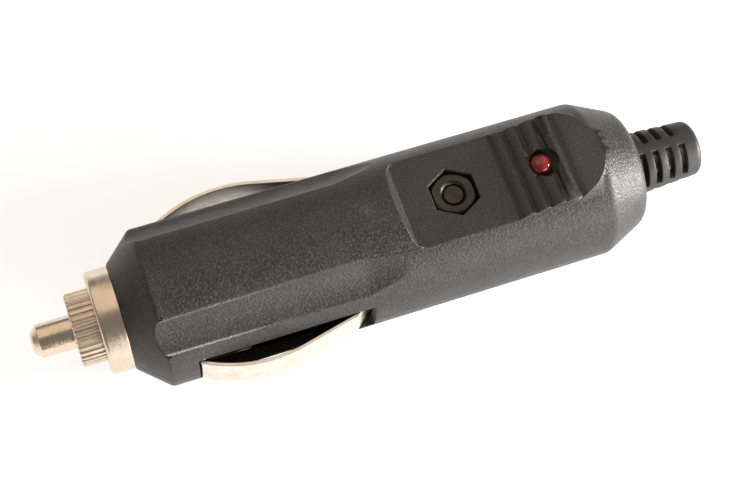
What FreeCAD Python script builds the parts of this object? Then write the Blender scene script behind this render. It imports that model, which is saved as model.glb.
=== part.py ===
import FreeCAD, Part
import math
import os
import re
import Sketcher

# Twelve-volt socket plug with a fused nose, two side contacts, a lamp and a cable sleeve.
# Millimetres. X runs along the plug from the nose to the cable end, +Z is the side with the
# nut and the lamp, and the case splits in the plane Z = 0. The origin is on the plug's axis,
# in the front face of the nose cap, where the centre contact comes out.

SIZES = (
    # Case
    ("case_radius", 10.5, "outside radius of the case"),
    ("case_length", 70.65, "from the collar's ring to the rear face"),
    ("case_wall", 1.6, "wall of the case halves"),
    ("rear_wall", 1.8, "wall that the cable sleeve comes through"),
    ("nose_cone_length", 3.85, "length of the cone behind the ring"),
    ("nose_cone_radius", 7.0, "front radius of that cone"),
    ("shoulder_round", 1.0, "round between the nose cone and the barrel"),
    ("rear_shoulder_round", 2.0, "round between the barrel and the rear cone"),
    ("rear_cone_length", 6.1, "length of the cone at the cable end"),
    ("rear_cone_radius", 7.65, "radius of that cone at the rear face"),
    ("rear_edge_round", 2.0, "round at the rim of the rear face"),
    ("rest_flat_depth", 0.3, "depth of the flat along the underside"),
    # Long hollowed flats on the barrel
    ("flat_angle", 46.35, "angle of each long flat from the top or the bottom"),
    ("flat_hollow", 7.5, "radius of the hollow floor of each long flat"),
    ("flat_depth", 0.8, "depth of each long flat's floor at its middle"),
    ("flat_length", 26.45, "level part of a long flat behind the shoulder"),
    ("flat_runout", 6.9, "ramp at the rear of a long flat"),
    # Side slots and the sprung contacts in them
    ("slot_start", 13.8, "front end of a side slot"),
    ("slot_length", 23.6, "length of a side slot"),
    ("slot_height", 6.0, "height of a side slot"),
    ("contact_height", 5.5, "width of the side contact strip"),
    ("contact_sheet", 0.5, "thickness of the side contact strip"),
    ("contact_bow", 2.2, "how far the bow stands out of the case"),
    ("contact_end_gap", 0.25, "from the front of the slot to the strip"),
    ("contact_foot", 2.75, "length of the foot under the wall, each end"),
    ("contact_under_wall", 0.6, "from the inner wall radius to a foot"),
    ("contact_bow_radius", 18.8, "outer radius of the bow"),
    ("contact_peak", 9.45, "from the front of the slot to the top of the bow"),
    ("contact_tail_sink", 0.05, "how deep under the case's surface the tail turns in"),
    ("contact_tail_start", 21.1, "from the front of the slot to that turn"),
    ("contact_tail_length", 2.4, "length of the tail's ramp along the plug"),
    # Nut panel and the screw through the case
    ("panel_depth", 2.1, "depth of the flat panel under the barrel"),
    ("panel_start", 44.2, "front edge of the panel"),
    ("panel_ramp", 1.2, "length of the ramp from the barrel down to that edge"),
    ("panel_half_width", 6.4, "half width of the panel's cut"),
    ("panel_corner", 3.0, "round at the front corners of that cut"),
    ("screw_place", 51.25, "place of the case screw along the plug"),
    ("screw_radius", 1.45, "shank of the case screw"),
    ("screw_clearance", 0.2, "gap round the shank in the case"),
    ("screw_head_radius", 2.8, "head of the case screw"),
    ("screw_head_height", 2.1, "height of that head"),
    ("screw_head_depth", 0.5, "how deep the head lies under the flat"),
    ("screw_head_gap", 0.3, "gap round the head"),
    ("screw_end_depth", 0.4, "from the nut's top to the end of the screw"),
    ("recess_width", 0.7, "slot width of the cross recess"),
    ("recess_span", 3.5, "length of each of its two slots"),
    ("recess_depth", 1.2, "depth of the cross recess"),
    ("nut_width", 5.5, "nut across its flats"),
    ("nut_height", 2.4, "thickness of the nut"),
    ("nut_depth", 0.4, "from the panel to the nut's top"),
    ("nut_gap", 0.25, "gap round the nut in its pocket"),
    ("nut_chamfer", 0.4, "countersink of the nut's thread"),
    ("thread_gap", 0.05, "gap between a screw and its thread"),
    ("boss_radius", 4.5, "post round the screw"),
    # Thumb pad and the lamp in it
    ("pad_start", 58.0, "front of the thumb pad, at the end of the panel"),
    ("pad_half_width", 6.25, "half width of the pad, and the radius of its rear end"),
    ("pad_straight", 7.4, "straight part of the pad's sides"),
    ("pad_depth", 0.4, "depth of the pad's level part under the barrel"),
    ("ridge_count", 4, "round ridges across the pad"),
    ("ridge_first", 0.45, "from the pad's front to the first groove"),
    ("ridge_pitch", 2.05, "spacing of the grooves between the ridges"),
    ("ridge_height", 0.4, "height of a ridge over its grooves"),
    ("groove_depth", 0.25, "depth of the first and last groove"),
    ("groove_rise", 0.5, "from the last groove to the level part"),
    ("lamp_place", 63.3, "place of the lamp along the plug"),
    ("lamp_radius", 1.5, "radius of the lamp's dome"),
    ("lamp_depth", 0.5, "depth of the dome under the barrel"),
    ("lamp_body", 2.9, "straight part of the lamp"),
    ("lamp_rim_radius", 1.9, "radius of the lamp's rim"),
    ("lamp_rim", 1.0, "thickness of that rim"),
    ("lamp_gap", 0.06, "gap round the lamp's body"),
    ("lamp_mouth_radius", 1.9, "radius of the wide mouth of the lamp's hole"),
    ("lamp_mouth_shift", 0.3, "how far the mouth's middle lies behind the lamp"),
    ("lamp_mouth_depth", 1.2, "depth of the mouth under the pad"),
    ("lamp_mouth_bevel", 0.12, "bevel at the mouth's rim"),
    ("lamp_boss_radius", 3.0, "collar inside the case round the lamp"),
    ("lamp_leg_radius", 0.25, "radius of a lamp leg"),
    ("lamp_leg_spacing", 2.54, "spacing of the lamp legs"),
    # Nose: collar, screw cap and centre contact
    ("ring_start", 3.2, "front of the collar's ring"),
    ("ring_length", 3.15, "length of that ring"),
    ("ring_radius", 6.8, "radius of that ring"),
    ("ring_round", 0.5, "round at the ring's front rim"),
    ("collar_neck_radius", 5.4, "radius of the collar inside the case front"),
    ("collar_neck", 2.0, "length of that neck"),
    ("collar_flange_radius", 6.4, "flange that the case halves trap"),
    ("collar_flange", 1.5, "thickness of that flange"),
    ("collar_gap", 0.05, "gap between the collar and the case"),
    ("bulkhead", 1.1, "wall behind the collar"),
    ("cap_radius", 4.8, "radius of the knurled head"),
    ("cap_head", 4.0, "length of the knurled head"),
    ("cap_seat", 0.9, "how deep the head sits in the ring"),
    ("cap_seat_gap", 0.2, "gap round the head in the ring"),
    ("cap_edge", 0.4, "round at the head's front rim"),
    ("cap_thread_radius", 4.1, "radius of the cap's thread"),
    ("cap_thread", 5.0, "length of the cap's thread"),
    ("cap_bore", 3.4, "inside radius of the cap"),
    ("cap_front_wall", 1.6, "front wall of the cap"),
    ("flute_count", 36, "flutes of the knurl"),
    ("flute_radius", 0.2, "radius of a flute"),
    ("pin_radius", 2.2, "radius of the centre contact"),
    ("pin_reach", 5.4, "how far the centre contact stands out"),
    ("pin_tip_radius", 1.25, "radius of the tip's blunt end before it is rounded"),
    ("pin_taper", 1.05, "length of the tip's cone"),
    ("pin_dome", 0.9, "round between the cone and the blunt end"),
    ("pin_gap", 0.08, "gap round the centre contact in the cap"),
    ("pin_flange_radius", 3.2, "flange that holds it in the cap"),
    ("pin_flange", 1.0, "thickness of that flange"),
    # Fuse, spring and positive terminal
    ("fuse_length", 30.0, "length of the fuse"),
    ("fuse_radius", 3.15, "radius of the fuse's end caps"),
    ("fuse_end_cap", 6.0, "length of an end cap"),
    ("fuse_end_wall", 0.4, "end wall of an end cap"),
    ("fuse_glass_radius", 2.85, "outside radius of the glass"),
    ("fuse_glass_wall", 0.65, "wall of the glass"),
    ("fuse_glass_gap", 0.05, "gap between the glass and an end cap"),
    ("fuse_wire_radius", 0.15, "radius of the fuse wire"),
    ("tunnel_radius", 3.45, "bore that the fuse slides in"),
    ("tunnel_wall", 1.05, "wall of that bore"),
    ("web_thickness", 1.2, "web between the bore and the shell"),
    ("spring_length", 7.4, "length of the coil spring at rest"),
    ("spring_radius", 2.4, "mean radius of the coil spring"),
    ("spring_wire_radius", 0.3, "radius of its wire"),
    ("spring_turns", 5, "turns of the coil spring"),
    ("terminal_radius", 3.35, "radius of the positive terminal"),
    ("terminal_sheet", 0.5, "thickness of the positive terminal"),
    ("terminal_wall", 1.6, "wall behind the positive terminal"),
    ("tab_width", 2.4, "width of the terminal's solder tab"),
    ("tab_reach", 3.3, "how far the tab stands out of that wall"),
    ("tab_hole_radius", 0.45, "solder hole in the tab"),
    ("tab_gap", 0.1, "gap round the tab in the wall"),
    # Earth bridge between the side contacts, resistor and leads
    ("bridge_place", 19.5, "front of the bridge's cross strip"),
    ("bridge_width", 1.8, "width of that strip"),
    ("bridge_sheet", 0.4, "thickness of the bridge"),
    ("bridge_end_gap", 0.1, "from the inner wall to the end of an arm"),
    ("bridge_arm", 2.6, "length of an arm across the plug"),
    ("bridge_gap", 0.1, "gap between an arm and the contact that rubs on it"),
    ("bridge_start", 11.6, "front of the arms"),
    ("bridge_under", 0.4, "gap between the fuse bore's wall and the cross strip"),
    ("resistor_radius", 1.15, "radius of the resistor"),
    ("resistor_length", 6.3, "length of the resistor"),
    ("resistor_gap", 0.9, "from the screw's post to the resistor"),
    ("resistor_offset", 3.5, "distance of the resistor from the axis"),
    ("lead_radius", 0.25, "radius of a lead"),
    ("lead_gap", 0.4, "gap between a lead and the post that it goes round"),
    ("lead_bend", 0.5, "from the resistor to the first bend of its front lead"),
    ("earth_lead_gap", 0.8, "gap between the inner wall and the earth lead"),
    # Cable sleeve
    ("sleeve_length", 10.0, "how far the sleeve stands out of the case"),
    ("sleeve_radius", 4.35, "radius of the sleeve at the case"),
    ("sleeve_end_radius", 3.75, "radius of the sleeve near its end"),
    ("sleeve_end_round", 1.0, "round at the sleeve's end"),
    ("sleeve_bore", 2.6, "bore for the cable"),
    ("sleeve_flange_radius", 6.2, "flange that the case traps"),
    ("sleeve_flange", 1.5, "thickness of that flange"),
    ("sleeve_gap", 0.05, "gap between the sleeve and the case"),
    ("sleeve_ring", 2.0, "thickness of the case's ring before the flange"),
    ("sleeve_ring_bore", 5.0, "bore of that ring"),
    ("window_count", 4, "windows in a row on the -Y side"),
    ("window_first", 1.3, "from the case to the middle of the first window"),
    ("window_pitch", 1.95, "spacing of the windows"),
    ("window_shift", 1.2, "shift of the shorter rows on the +Y side"),
    ("window_width", 0.85, "width of a window"),
    ("window_web", 0.7, "half width of the webs between windows"),
)

NAMES = tuple(alias for alias, amount, meaning in SIZES)

# Places that several pieces share, each a sum of the sizes above.
CASE_FRONT = "(ring_start + ring_length)"
CASE_REAR = f"({CASE_FRONT} + case_length)"
SHOULDER = f"({CASE_FRONT} + nose_cone_length)"
REAR_CONE = f"({CASE_REAR} - rear_cone_length)"
INSIDE = "(case_radius - case_wall)"
COLLAR_FLANGE_START = f"({CASE_FRONT} + collar_neck)"
COLLAR_REAR = f"({COLLAR_FLANGE_START} + collar_flange)"
CAVITY_FRONT = f"({COLLAR_REAR} + collar_gap + bulkhead)"
PIN_FLANGE_START = "(cap_front_wall + pin_gap)"
FUSE_START = f"({PIN_FLANGE_START} + pin_flange)"
FUSE_END = f"({FUSE_START} + fuse_length)"
TERMINAL_FRONT = f"({FUSE_END} + spring_length)"
TERMINAL_REAR = f"({TERMINAL_FRONT} + terminal_sheet)"
TUNNEL_REAR = f"({TERMINAL_REAR} + terminal_wall)"
TAB_END = f"({TUNNEL_REAR} + tab_reach)"
TUNNEL_OUTSIDE = "(tunnel_radius + tunnel_wall)"
FLANGE_REAR = f"({CASE_REAR} - rear_wall - sleeve_gap)"
FLANGE_FRONT = f"({FLANGE_REAR} - sleeve_flange)"
CAVITY_REAR = f"({FLANGE_FRONT} - sleeve_gap - sleeve_ring)"
PANEL = "(case_radius - panel_depth)"
PAD_TOP = "(case_radius - pad_depth)"
LAMP_TOP = "(case_radius - lamp_depth)"
CEILING = f"({PANEL} - case_wall)"
REST_FLAT = "(case_radius - rest_flat_depth)"
HEAD_FACE = f"({REST_FLAT} - screw_head_depth)"
HEAD_SEAT = f"({HEAD_FACE} - screw_head_height)"
NUT_TOP = f"({PANEL} - nut_depth)"
NUT_SEAT = f"({NUT_TOP} - nut_height)"
ARM_TOP = "(contact_height / 2 + bridge_gap)"
ARM_UNDER = f"({ARM_TOP} + bridge_sheet)"
ARM_END = f"(sqrt({INSIDE} ^ 2 - {ARM_UNDER} ^ 2) - bridge_end_gap)"
ARM_START = f"({ARM_END} - bridge_arm)"
FIRST_GROOVE = "(pad_start + ridge_first)"
LAST_GROOVE = f"({FIRST_GROOVE} + ridge_count * ridge_pitch)"
GROOVE_SLOPE = "((panel_depth - pad_depth) / (ridge_count * ridge_pitch))"
LAMP_SHOULDER = f"({LAMP_TOP} - lamp_radius)"
LAMP_RIM_TOP = f"({LAMP_SHOULDER} - lamp_body)"
LAMP_BOTTOM = f"({LAMP_RIM_TOP} - lamp_rim)"
OUTSIDE = "(case_radius + 5)"

doc = FreeCAD.newDocument("twelve_volt_plug")
sheet = doc.addObject("Spreadsheet::Sheet", "sizes")
for row, (alias, amount, meaning) in enumerate(SIZES, start=1):
    sheet.set(f"A{row}", meaning)
    sheet.set(f"B{row}", str(amount))
    sheet.setAlias(f"B{row}", alias)
doc.recompute()


def formula(words):
    """The same sum with each size's name pointing at its cell."""
    def cell(found):
        return f"sizes.{found.group()}" if found.group() in NAMES else found.group()
    return re.sub(r"[a-z][a-z_]*", cell, str(words))


def amount_of(words):
    """What a sum of sizes comes to."""
    return float(sheet.evalExpression(formula(words)))


def bind(thing, prop, words):
    """Ties one property of an object to the cells."""
    thing.setExpression(prop, formula(words))


def place(thing, x="0", y="0", z="0", axis=None, angle="0"):
    """Puts an object at a place, turned about an axis, all from the cells."""
    if axis is not None:
        turn = FreeCAD.Rotation(FreeCAD.Vector(*axis), amount_of(angle))
        thing.Placement = FreeCAD.Placement(FreeCAD.Vector(0, 0, 0), turn)
    for letter, words in (("x", x), ("y", y), ("z", z)):
        bind(thing, f"Placement.Base.{letter}", words)
    return thing


TURN_TO = {"x": ((0, 1, 0), "90"), "y": ((1, 0, 0), "-90"), "z": ((0, 0, 1), "0")}


def cylinder(name, along, radius, length, x="0", y="0", z="0"):
    """A cylinder that starts at a place and runs along X, Y or Z."""
    thing = doc.addObject("Part::Cylinder", name)
    bind(thing, "Radius", radius)
    bind(thing, "Height", length)
    axis, angle = TURN_TO[along]
    return place(thing, x, y, z, axis, angle)


def cone(name, along, first_radius, last_radius, length, x="0", y="0", z="0"):
    """A cone that starts at a place and runs along X, Y or Z."""
    thing = doc.addObject("Part::Cone", name)
    bind(thing, "Radius1", first_radius)
    bind(thing, "Radius2", last_radius)
    bind(thing, "Height", length)
    axis, angle = TURN_TO[along]
    return place(thing, x, y, z, axis, angle)


def box(name, xs, ys, zs):
    """A box between two places on each axis."""
    thing = doc.addObject("Part::Box", name)
    for prop, (low, high) in (("Length", xs), ("Width", ys), ("Height", zs)):
        bind(thing, prop, f"({high}) - ({low})")
    return place(thing, xs[0], ys[0], zs[0])


def hexagon(name, across, height, x, z):
    """A six-sided prism along Z with two flats across X."""
    thing = doc.addObject("Part::Prism", name)
    thing.Polygon = 6
    bind(thing, "Circumradius", f"({across}) / sqrt(3)")
    bind(thing, "Height", height)
    return place(thing, x, "0", z, (0, 0, 1), "30")


def cut(name, base, tools):
    """One piece less a group of others."""
    thing = doc.addObject("Part::Cut", name)
    thing.Base = base
    thing.Tool = tools[0] if len(tools) == 1 else fuse(f"{name}_tools", tools)
    return thing


def fuse(name, pieces):
    """Several pieces as one."""
    thing = doc.addObject("Part::MultiFuse", name)
    thing.Shapes = pieces
    return thing


def common(name, pieces):
    """What several pieces share."""
    thing = doc.addObject("Part::MultiCommon", name)
    thing.Shapes = pieces
    return thing


def tie(sketch, constraint, words):
    """Adds a measure to a sketch and ties it to the cells."""
    number = sketch.addConstraint(constraint)
    bind(sketch, f"Constraints[{number}]", words)


def join(sketch, kind, first, first_end, second, second_end):
    """Joins the ends of two runs of a sketch."""
    sketch.addConstraint(Sketcher.Constraint(kind, first, first_end, second, second_end))


def fix_corner(sketch, geometry, corner):
    """Ties both places of a point of a sketch to the cells."""
    for kind, words in (("DistanceX", corner[0]), ("DistanceY", corner[1])):
        tie(sketch, Sketcher.Constraint(kind, geometry, 1, amount_of(words)), words)


def round_corner(sketch, before, after, corner, way_in, way_out):
    """Puts a tangent arc between two runs of a sketch that would meet in a corner."""
    radius = amount_of(corner[2])
    spot = FreeCAD.Vector(amount_of(corner[0]), amount_of(corner[1]), 0)
    half_turn = way_in.getAngle(way_out) / 2
    inward = (way_out - way_in).normalize()
    middle = spot + inward * (radius / math.cos(half_turn) - radius)
    reach = radius * math.tan(half_turn)
    start = spot - way_in * reach
    arc = sketch.addGeometry(Part.Arc(start, middle, spot + way_out * reach))
    first, last = (1, 2) if sketch.getPoint(arc, 1).distanceToPoint(start) < 1e-6 else (2, 1)
    point = sketch.addGeometry(Part.Point(spot), True)
    fix_corner(sketch, point, corner)
    for run in (before, after):
        sketch.addConstraint(Sketcher.Constraint("PointOnObject", point, 1, run))
    join(sketch, "Tangent", before, 2, arc, first)
    join(sketch, "Tangent", arc, last, after, 1)
    tie(sketch, Sketcher.Constraint("Radius", arc, radius), corner[2])


def draw(sketch, corners):
    """A closed outline of (across, up) corners tied to the cells; a third word rounds one."""
    count = len(corners)
    spots = [FreeCAD.Vector(amount_of(corner[0]), amount_of(corner[1]), 0) for corner in corners]
    ways = [(spots[(index + 1) % count] - spots[index]).normalize() for index in range(count)]
    reaches = []
    for index, corner in enumerate(corners):
        radius = amount_of(corner[2]) if len(corner) > 2 else 0
        reaches.append(radius * math.tan(ways[index - 1].getAngle(ways[index]) / 2))
    for index in range(count):
        after = (index + 1) % count
        sketch.addGeometry(Part.LineSegment(spots[index] + ways[index] * reaches[index],
                                            spots[after] - ways[index] * reaches[after]))
    for index, corner in enumerate(corners):
        before = (index - 1) % count
        if len(corner) > 2:
            round_corner(sketch, before, index, corner, ways[before], ways[index])
        else:
            join(sketch, "Coincident", before, 2, index, 1)
            fix_corner(sketch, index, corner)


def origin_plane(body, role):
    """One of a body's own three planes."""
    return next(plane for plane in body.Origin.OriginFeatures if plane.Role == role)


def sketch_in(body, name, role, corners):
    """A sketch on one of a body's planes."""
    sketch = body.newObject("Sketcher::SketchObject", name)
    sketch.AttachmentSupport = (origin_plane(body, role), [""])
    sketch.MapMode = "FlatFace"
    draw(sketch, corners)
    return sketch


def turned(name, corners):
    """A body turned about the plug's axis from a half section of (along, radius) corners."""
    body = doc.addObject("PartDesign::Body", name)
    sketch = sketch_in(body, f"{name}_section", "XZ_Plane", corners)
    feature = body.newObject("PartDesign::Revolution", f"{name}_turned")
    feature.Profile = sketch
    feature.ReferenceAxis = (sketch, ["H_Axis"])
    feature.Angle = 360
    sketch.Visibility = False
    doc.recompute()
    return body


def extruded(name, corners, width):
    """An outline in the plane of X and Z, thickened evenly to both sides."""
    sketch = doc.addObject("Sketcher::SketchObject", f"{name}_outline")
    upright = FreeCAD.Rotation(FreeCAD.Vector(1, 0, 0), 90)
    sketch.Placement = FreeCAD.Placement(FreeCAD.Vector(0, 0, 0), upright)
    draw(sketch, corners)
    thing = doc.addObject("Part::Extrusion", name)
    thing.Base = sketch
    thing.DirMode = "Normal"
    thing.Symmetric = True
    thing.Solid = True
    bind(thing, "LengthFwd", width)
    return thing


def extruded_up(name, corners, low, high):
    """An outline in the plane of X and Y as a block between two heights."""
    sketch = doc.addObject("Sketcher::SketchObject", f"{name}_outline")
    draw(sketch, corners)
    thing = doc.addObject("Part::Extrusion", name)
    thing.Base = sketch
    thing.DirMode = "Normal"
    thing.Solid = True
    bind(thing, "LengthFwd", high)
    bind(thing, "LengthRev", f"-({low})")
    return thing


def wire_run(name, radius, start, runs):
    """A round wire from a start, with runs along X, Y or Z and a ball at each bend."""
    pieces = []
    here = list(start)
    for number, (letter, end) in enumerate(runs, start=1):
        slot = "xyz".index(letter)
        low, high = sorted((here[slot], end), key=amount_of)
        foot = list(here)
        foot[slot] = low
        pieces.append(cylinder(f"{name}_run_{number}", letter, radius,
                               f"({high}) - ({low})", *foot))
        here[slot] = end
        if number < len(runs):
            ball = doc.addObject("Part::Sphere", f"{name}_bend_{number}")
            bind(ball, "Radius", radius)
            pieces.append(place(ball, *here))
    return pieces


def node(thing, name):
    """Names a finished piece."""
    thing.Label = name
    NODES.append(thing)
    return thing


NODES = []


def make_case():
    """Both case halves: one shell with its inner walls, split in the plane Z = 0."""
    blank = turned("case_blank", [
        (CASE_FRONT, "0"), (CASE_FRONT, "nose_cone_radius"),
        (SHOULDER, "case_radius", "shoulder_round"),
        (REAR_CONE, "case_radius", "rear_shoulder_round"),
        (CASE_REAR, "rear_cone_radius", "rear_edge_round"), (CASE_REAR, "0")])
    shell = cut("shell", blank, [make_cavity(), make_seats()] + make_flats() + make_slots())
    whole = cut("case_whole", fuse("case_walled", [shell] + make_inner_walls()),
                make_inner_cuts())
    past_rear = f"({CASE_REAR} + 1)"
    upper_half = box("upper_half", ("0", past_rear), (f"-{OUTSIDE}", OUTSIDE), ("0", OUTSIDE))
    lower_half = box("lower_half", ("0", past_rear), (f"-{OUTSIDE}", OUTSIDE),
                     (f"-{OUTSIDE}", "0"))
    plan, pad = make_pad()
    unpadded = cut("upper_unpadded", common("upper_blank", [whole, upper_half]), [plan])
    node(cut("upper", fuse("upper_padded", [unpadded, pad]), make_upper_cuts()), "upper_case")
    lower = common("lower_blank", [whole, lower_half])
    node(cut("lower", lower, make_lower_cuts()), "lower_case")


def make_cavity():
    """The hollow of the case, with a flat ceiling under the panel and the pad."""
    hollow = turned("hollow", [
        (CAVITY_FRONT, "0"), (CAVITY_FRONT, INSIDE), (CAVITY_REAR, INSIDE), (CAVITY_REAR, "0")])
    ceiling = box("ceiling", ("panel_start - case_wall", CASE_REAR),
                  (f"-{OUTSIDE}", OUTSIDE), (CEILING, OUTSIDE))
    return cut("cavity", hollow, [ceiling])


def make_seats():
    """The stepped holes that hold the collar in front and the cable sleeve behind."""
    front = turned("collar_seat", [
        (f"{CASE_FRONT} - 1", "0"), (f"{CASE_FRONT} - 1", "collar_neck_radius + collar_gap"),
        (f"{COLLAR_FLANGE_START} - collar_gap", "collar_neck_radius + collar_gap"),
        (f"{COLLAR_FLANGE_START} - collar_gap", "collar_flange_radius + collar_gap"),
        (f"{COLLAR_REAR} + collar_gap", "collar_flange_radius + collar_gap"),
        (f"{COLLAR_REAR} + collar_gap", "0")])
    rear = turned("sleeve_seat", [
        (f"{CAVITY_REAR} - 1", "0"), (f"{CAVITY_REAR} - 1", "sleeve_ring_bore"),
        (f"{FLANGE_FRONT} - sleeve_gap", "sleeve_ring_bore"),
        (f"{FLANGE_FRONT} - sleeve_gap", "sleeve_flange_radius + sleeve_gap"),
        (f"{FLANGE_REAR} + sleeve_gap", "sleeve_flange_radius + sleeve_gap"),
        (f"{FLANGE_REAR} + sleeve_gap", "sleeve_radius + sleeve_gap"),
        (f"{CASE_REAR} + 1", "sleeve_radius + sleeve_gap"), (f"{CASE_REAR} + 1", "0")])
    return fuse("seats", [front, rear])


def make_flats():
    """Four long hollowed flats that run out through the nose cone and, ramped, at the rear."""
    away = "(case_radius - flat_depth + flat_hollow)"
    cuts = []
    angles = ("flat_angle", "(-flat_angle)", "(180 - flat_angle)", "(180 + flat_angle)")
    for number, angle in enumerate(angles, start=1):
        across = f"{away} * sin({angle})"
        up = f"{away} * cos({angle})"
        cuts.append(cylinder(f"flat_{number}", "x", "flat_hollow",
                             "nose_cone_length + flat_length", CASE_FRONT, across, up))
        cuts.append(cone(f"flat_ramp_{number}", "x", "flat_hollow",
                         "flat_hollow - flat_depth - 0.1", "flat_runout",
                         f"{SHOULDER} + flat_length", across, up))
    return cuts


def make_slots():
    """The two side slots, through the wall of the barrel."""
    along = ("slot_start", "slot_start + slot_length")
    height = ("-slot_height / 2", "slot_height / 2")
    middle = f"({TUNNEL_OUTSIDE} + 1)"
    return [box("slot_left", along, (middle, OUTSIDE), height),
            box("slot_right", along, (f"-{OUTSIDE}", f"-{middle}"), height)]


def make_inner_walls():
    """The fuse bore's wall, its two webs, the screw post and the lamp's collar."""
    length = f"{TUNNEL_REAR} - {CAVITY_FRONT} + bulkhead / 2"
    start = f"{CAVITY_FRONT} - bulkhead / 2"
    wall = cylinder("tunnel", "x", TUNNEL_OUTSIDE, length, start)
    thickness = ("-web_thickness / 2", "web_thickness / 2")
    reach = f"({INSIDE} + case_wall / 4)"
    inner = f"({TUNNEL_OUTSIDE} - tunnel_wall / 2)"
    webs = [box("web_upper", (start, TUNNEL_REAR), thickness, (inner, reach)),
            box("web_lower", (start, TUNNEL_REAR), thickness, (f"-{reach}", f"-{inner}"))]
    post = cylinder("post", "z", "boss_radius", f"{CEILING} + case_wall + {INSIDE}",
                    "screw_place", "0", f"-{INSIDE} - case_wall / 2")
    collar = cylinder("lamp_collar", "z", "lamp_boss_radius",
                      f"{CEILING} + case_wall / 2 - {LAMP_RIM_TOP}",
                      "lamp_place", "0", LAMP_RIM_TOP)
    return [wall, post, collar] + webs


def make_inner_cuts():
    """What both halves share inside: the fuse bore, the tab's slot and the screw hole."""
    bore_start = f"({COLLAR_REAR} - collar_gap)"
    bore = cylinder("tunnel_bore", "x", "tunnel_radius", f"{TERMINAL_REAR} - {bore_start}",
                    bore_start)
    half = "(tab_width / 2 + tab_gap)"
    thick = "(terminal_sheet / 2 + tab_gap)"
    tab = box("tab_slot", (TERMINAL_FRONT, f"{TUNNEL_REAR} + 1"), (f"-{half}", half),
              (f"-{thick}", thick))
    screw = cylinder("screw_hole", "z", "screw_radius + screw_clearance", f"2 * {OUTSIDE}",
                     "screw_place", "0", f"-{OUTSIDE}")
    return [bore, tab, screw]


def groove_height(along):
    """Height of the line through the pad's grooves at a place along the plug."""
    return f"({PANEL} - groove_depth + ({along} - {FIRST_GROOVE}) * {GROOVE_SLOPE})"


def make_pad():
    """The thumb pad's plan as a block, and the pad: round ridges, then a level part."""
    straight_end = "(pad_start + pad_straight)"
    behind = f"({straight_end} + 2 * pad_half_width)"
    plan = fuse("pad_plan", [
        box("pad_front", ("pad_start", straight_end), ("-pad_half_width", "pad_half_width"),
            (CEILING, OUTSIDE)),
        cylinder("pad_end", "z", "pad_half_width", f"{OUTSIDE} - {CEILING}",
                 straight_end, "0", CEILING)])
    bed = extruded("pad_bed", [
        ("pad_start", CEILING), ("pad_start", PANEL),
        (FIRST_GROOVE, groove_height(FIRST_GROOVE)), (LAST_GROOVE, groove_height(LAST_GROOVE)),
        (f"{LAST_GROOVE} + groove_rise", PAD_TOP), (behind, PAD_TOP), (behind, CEILING)],
        "4 * pad_half_width")
    ridge_radius = "((ridge_pitch ^ 2 / 4 + ridge_height ^ 2) / (2 * ridge_height))"
    ridges = []
    for number in range(int(amount_of("ridge_count"))):
        along = f"({FIRST_GROOVE} + {number + 0.5} * ridge_pitch)"
        height = f"{groove_height(along)} + ridge_height - {ridge_radius}"
        ridges.append(cylinder(f"ridge_{number}", "y", ridge_radius, "4 * pad_half_width",
                               along, "-2 * pad_half_width", height))
    return plan, common("pad", [plan, fuse("pad_ridged", [bed] + ridges)])


def make_upper_cuts():
    """The flat panel with its ramp, the nut's pocket and the lamp's stepped hole."""
    panel_front = "(panel_start - panel_ramp)"
    slope = extruded("panel_slope", [
        ("panel_start", PANEL), ("pad_start", PANEL), ("pad_start", OUTSIDE),
        ("panel_start - 2 * panel_ramp", OUTSIDE),
        ("panel_start - 2 * panel_ramp", f"{PANEL} + 2 * panel_depth")], f"2 * {OUTSIDE}")
    plan = extruded_up("panel_plan", [
        (panel_front, "-panel_half_width", "panel_corner"), ("pad_start", "-panel_half_width"),
        ("pad_start", "panel_half_width"), (panel_front, "panel_half_width", "panel_corner")],
        CEILING, OUTSIDE)
    panel = common("panel", [slope, plan])
    pocket = hexagon("nut_pocket", "nut_width + 2 * nut_gap", f"{OUTSIDE} - {NUT_SEAT}",
                     "screw_place", NUT_SEAT)
    surface = f"({groove_height('lamp_place')} + ridge_height / 2)"
    hole = cylinder("lamp_hole", "z", "lamp_radius + lamp_gap", f"{OUTSIDE} - {LAMP_BOTTOM}",
                    "lamp_place", "0", LAMP_BOTTOM)
    floor = f"({surface} - lamp_mouth_depth)"
    middle = "(lamp_place + lamp_mouth_shift)"
    mouth = cylinder("lamp_mouth", "z", "lamp_mouth_radius", f"{OUTSIDE} - {floor}",
                     middle, "0", floor)
    bevel = cone("lamp_bevel", "z", "lamp_mouth_radius",
                 "lamp_mouth_radius + 4 * lamp_mouth_bevel", "4 * lamp_mouth_bevel",
                 middle, "0", f"{surface} - lamp_mouth_bevel")
    return [panel, pocket, hole, mouth, bevel]


def make_lower_cuts():
    """The flat underside, the pocket of the screw head and the notch for the bridge."""
    flat = box("rest_flat", ("0", CASE_REAR), (f"-{OUTSIDE}", OUTSIDE),
               (f"-{OUTSIDE}", f"-{REST_FLAT}"))
    pocket = cylinder("head_pocket", "z", "screw_head_radius + screw_head_gap",
                      f"{OUTSIDE} - {HEAD_SEAT}", "screw_place", "0", f"-{OUTSIDE}")
    strip_top = f"(-{TUNNEL_OUTSIDE} - bridge_under)"
    notch = box("bridge_notch", ("bridge_place - bridge_gap",
                                 "bridge_place + bridge_width + bridge_gap"),
                ("-web_thickness", "web_thickness"),
                (f"{strip_top} - bridge_sheet - bridge_gap", f"{strip_top} + bridge_gap"))
    return [flat, pocket, notch]


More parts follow.
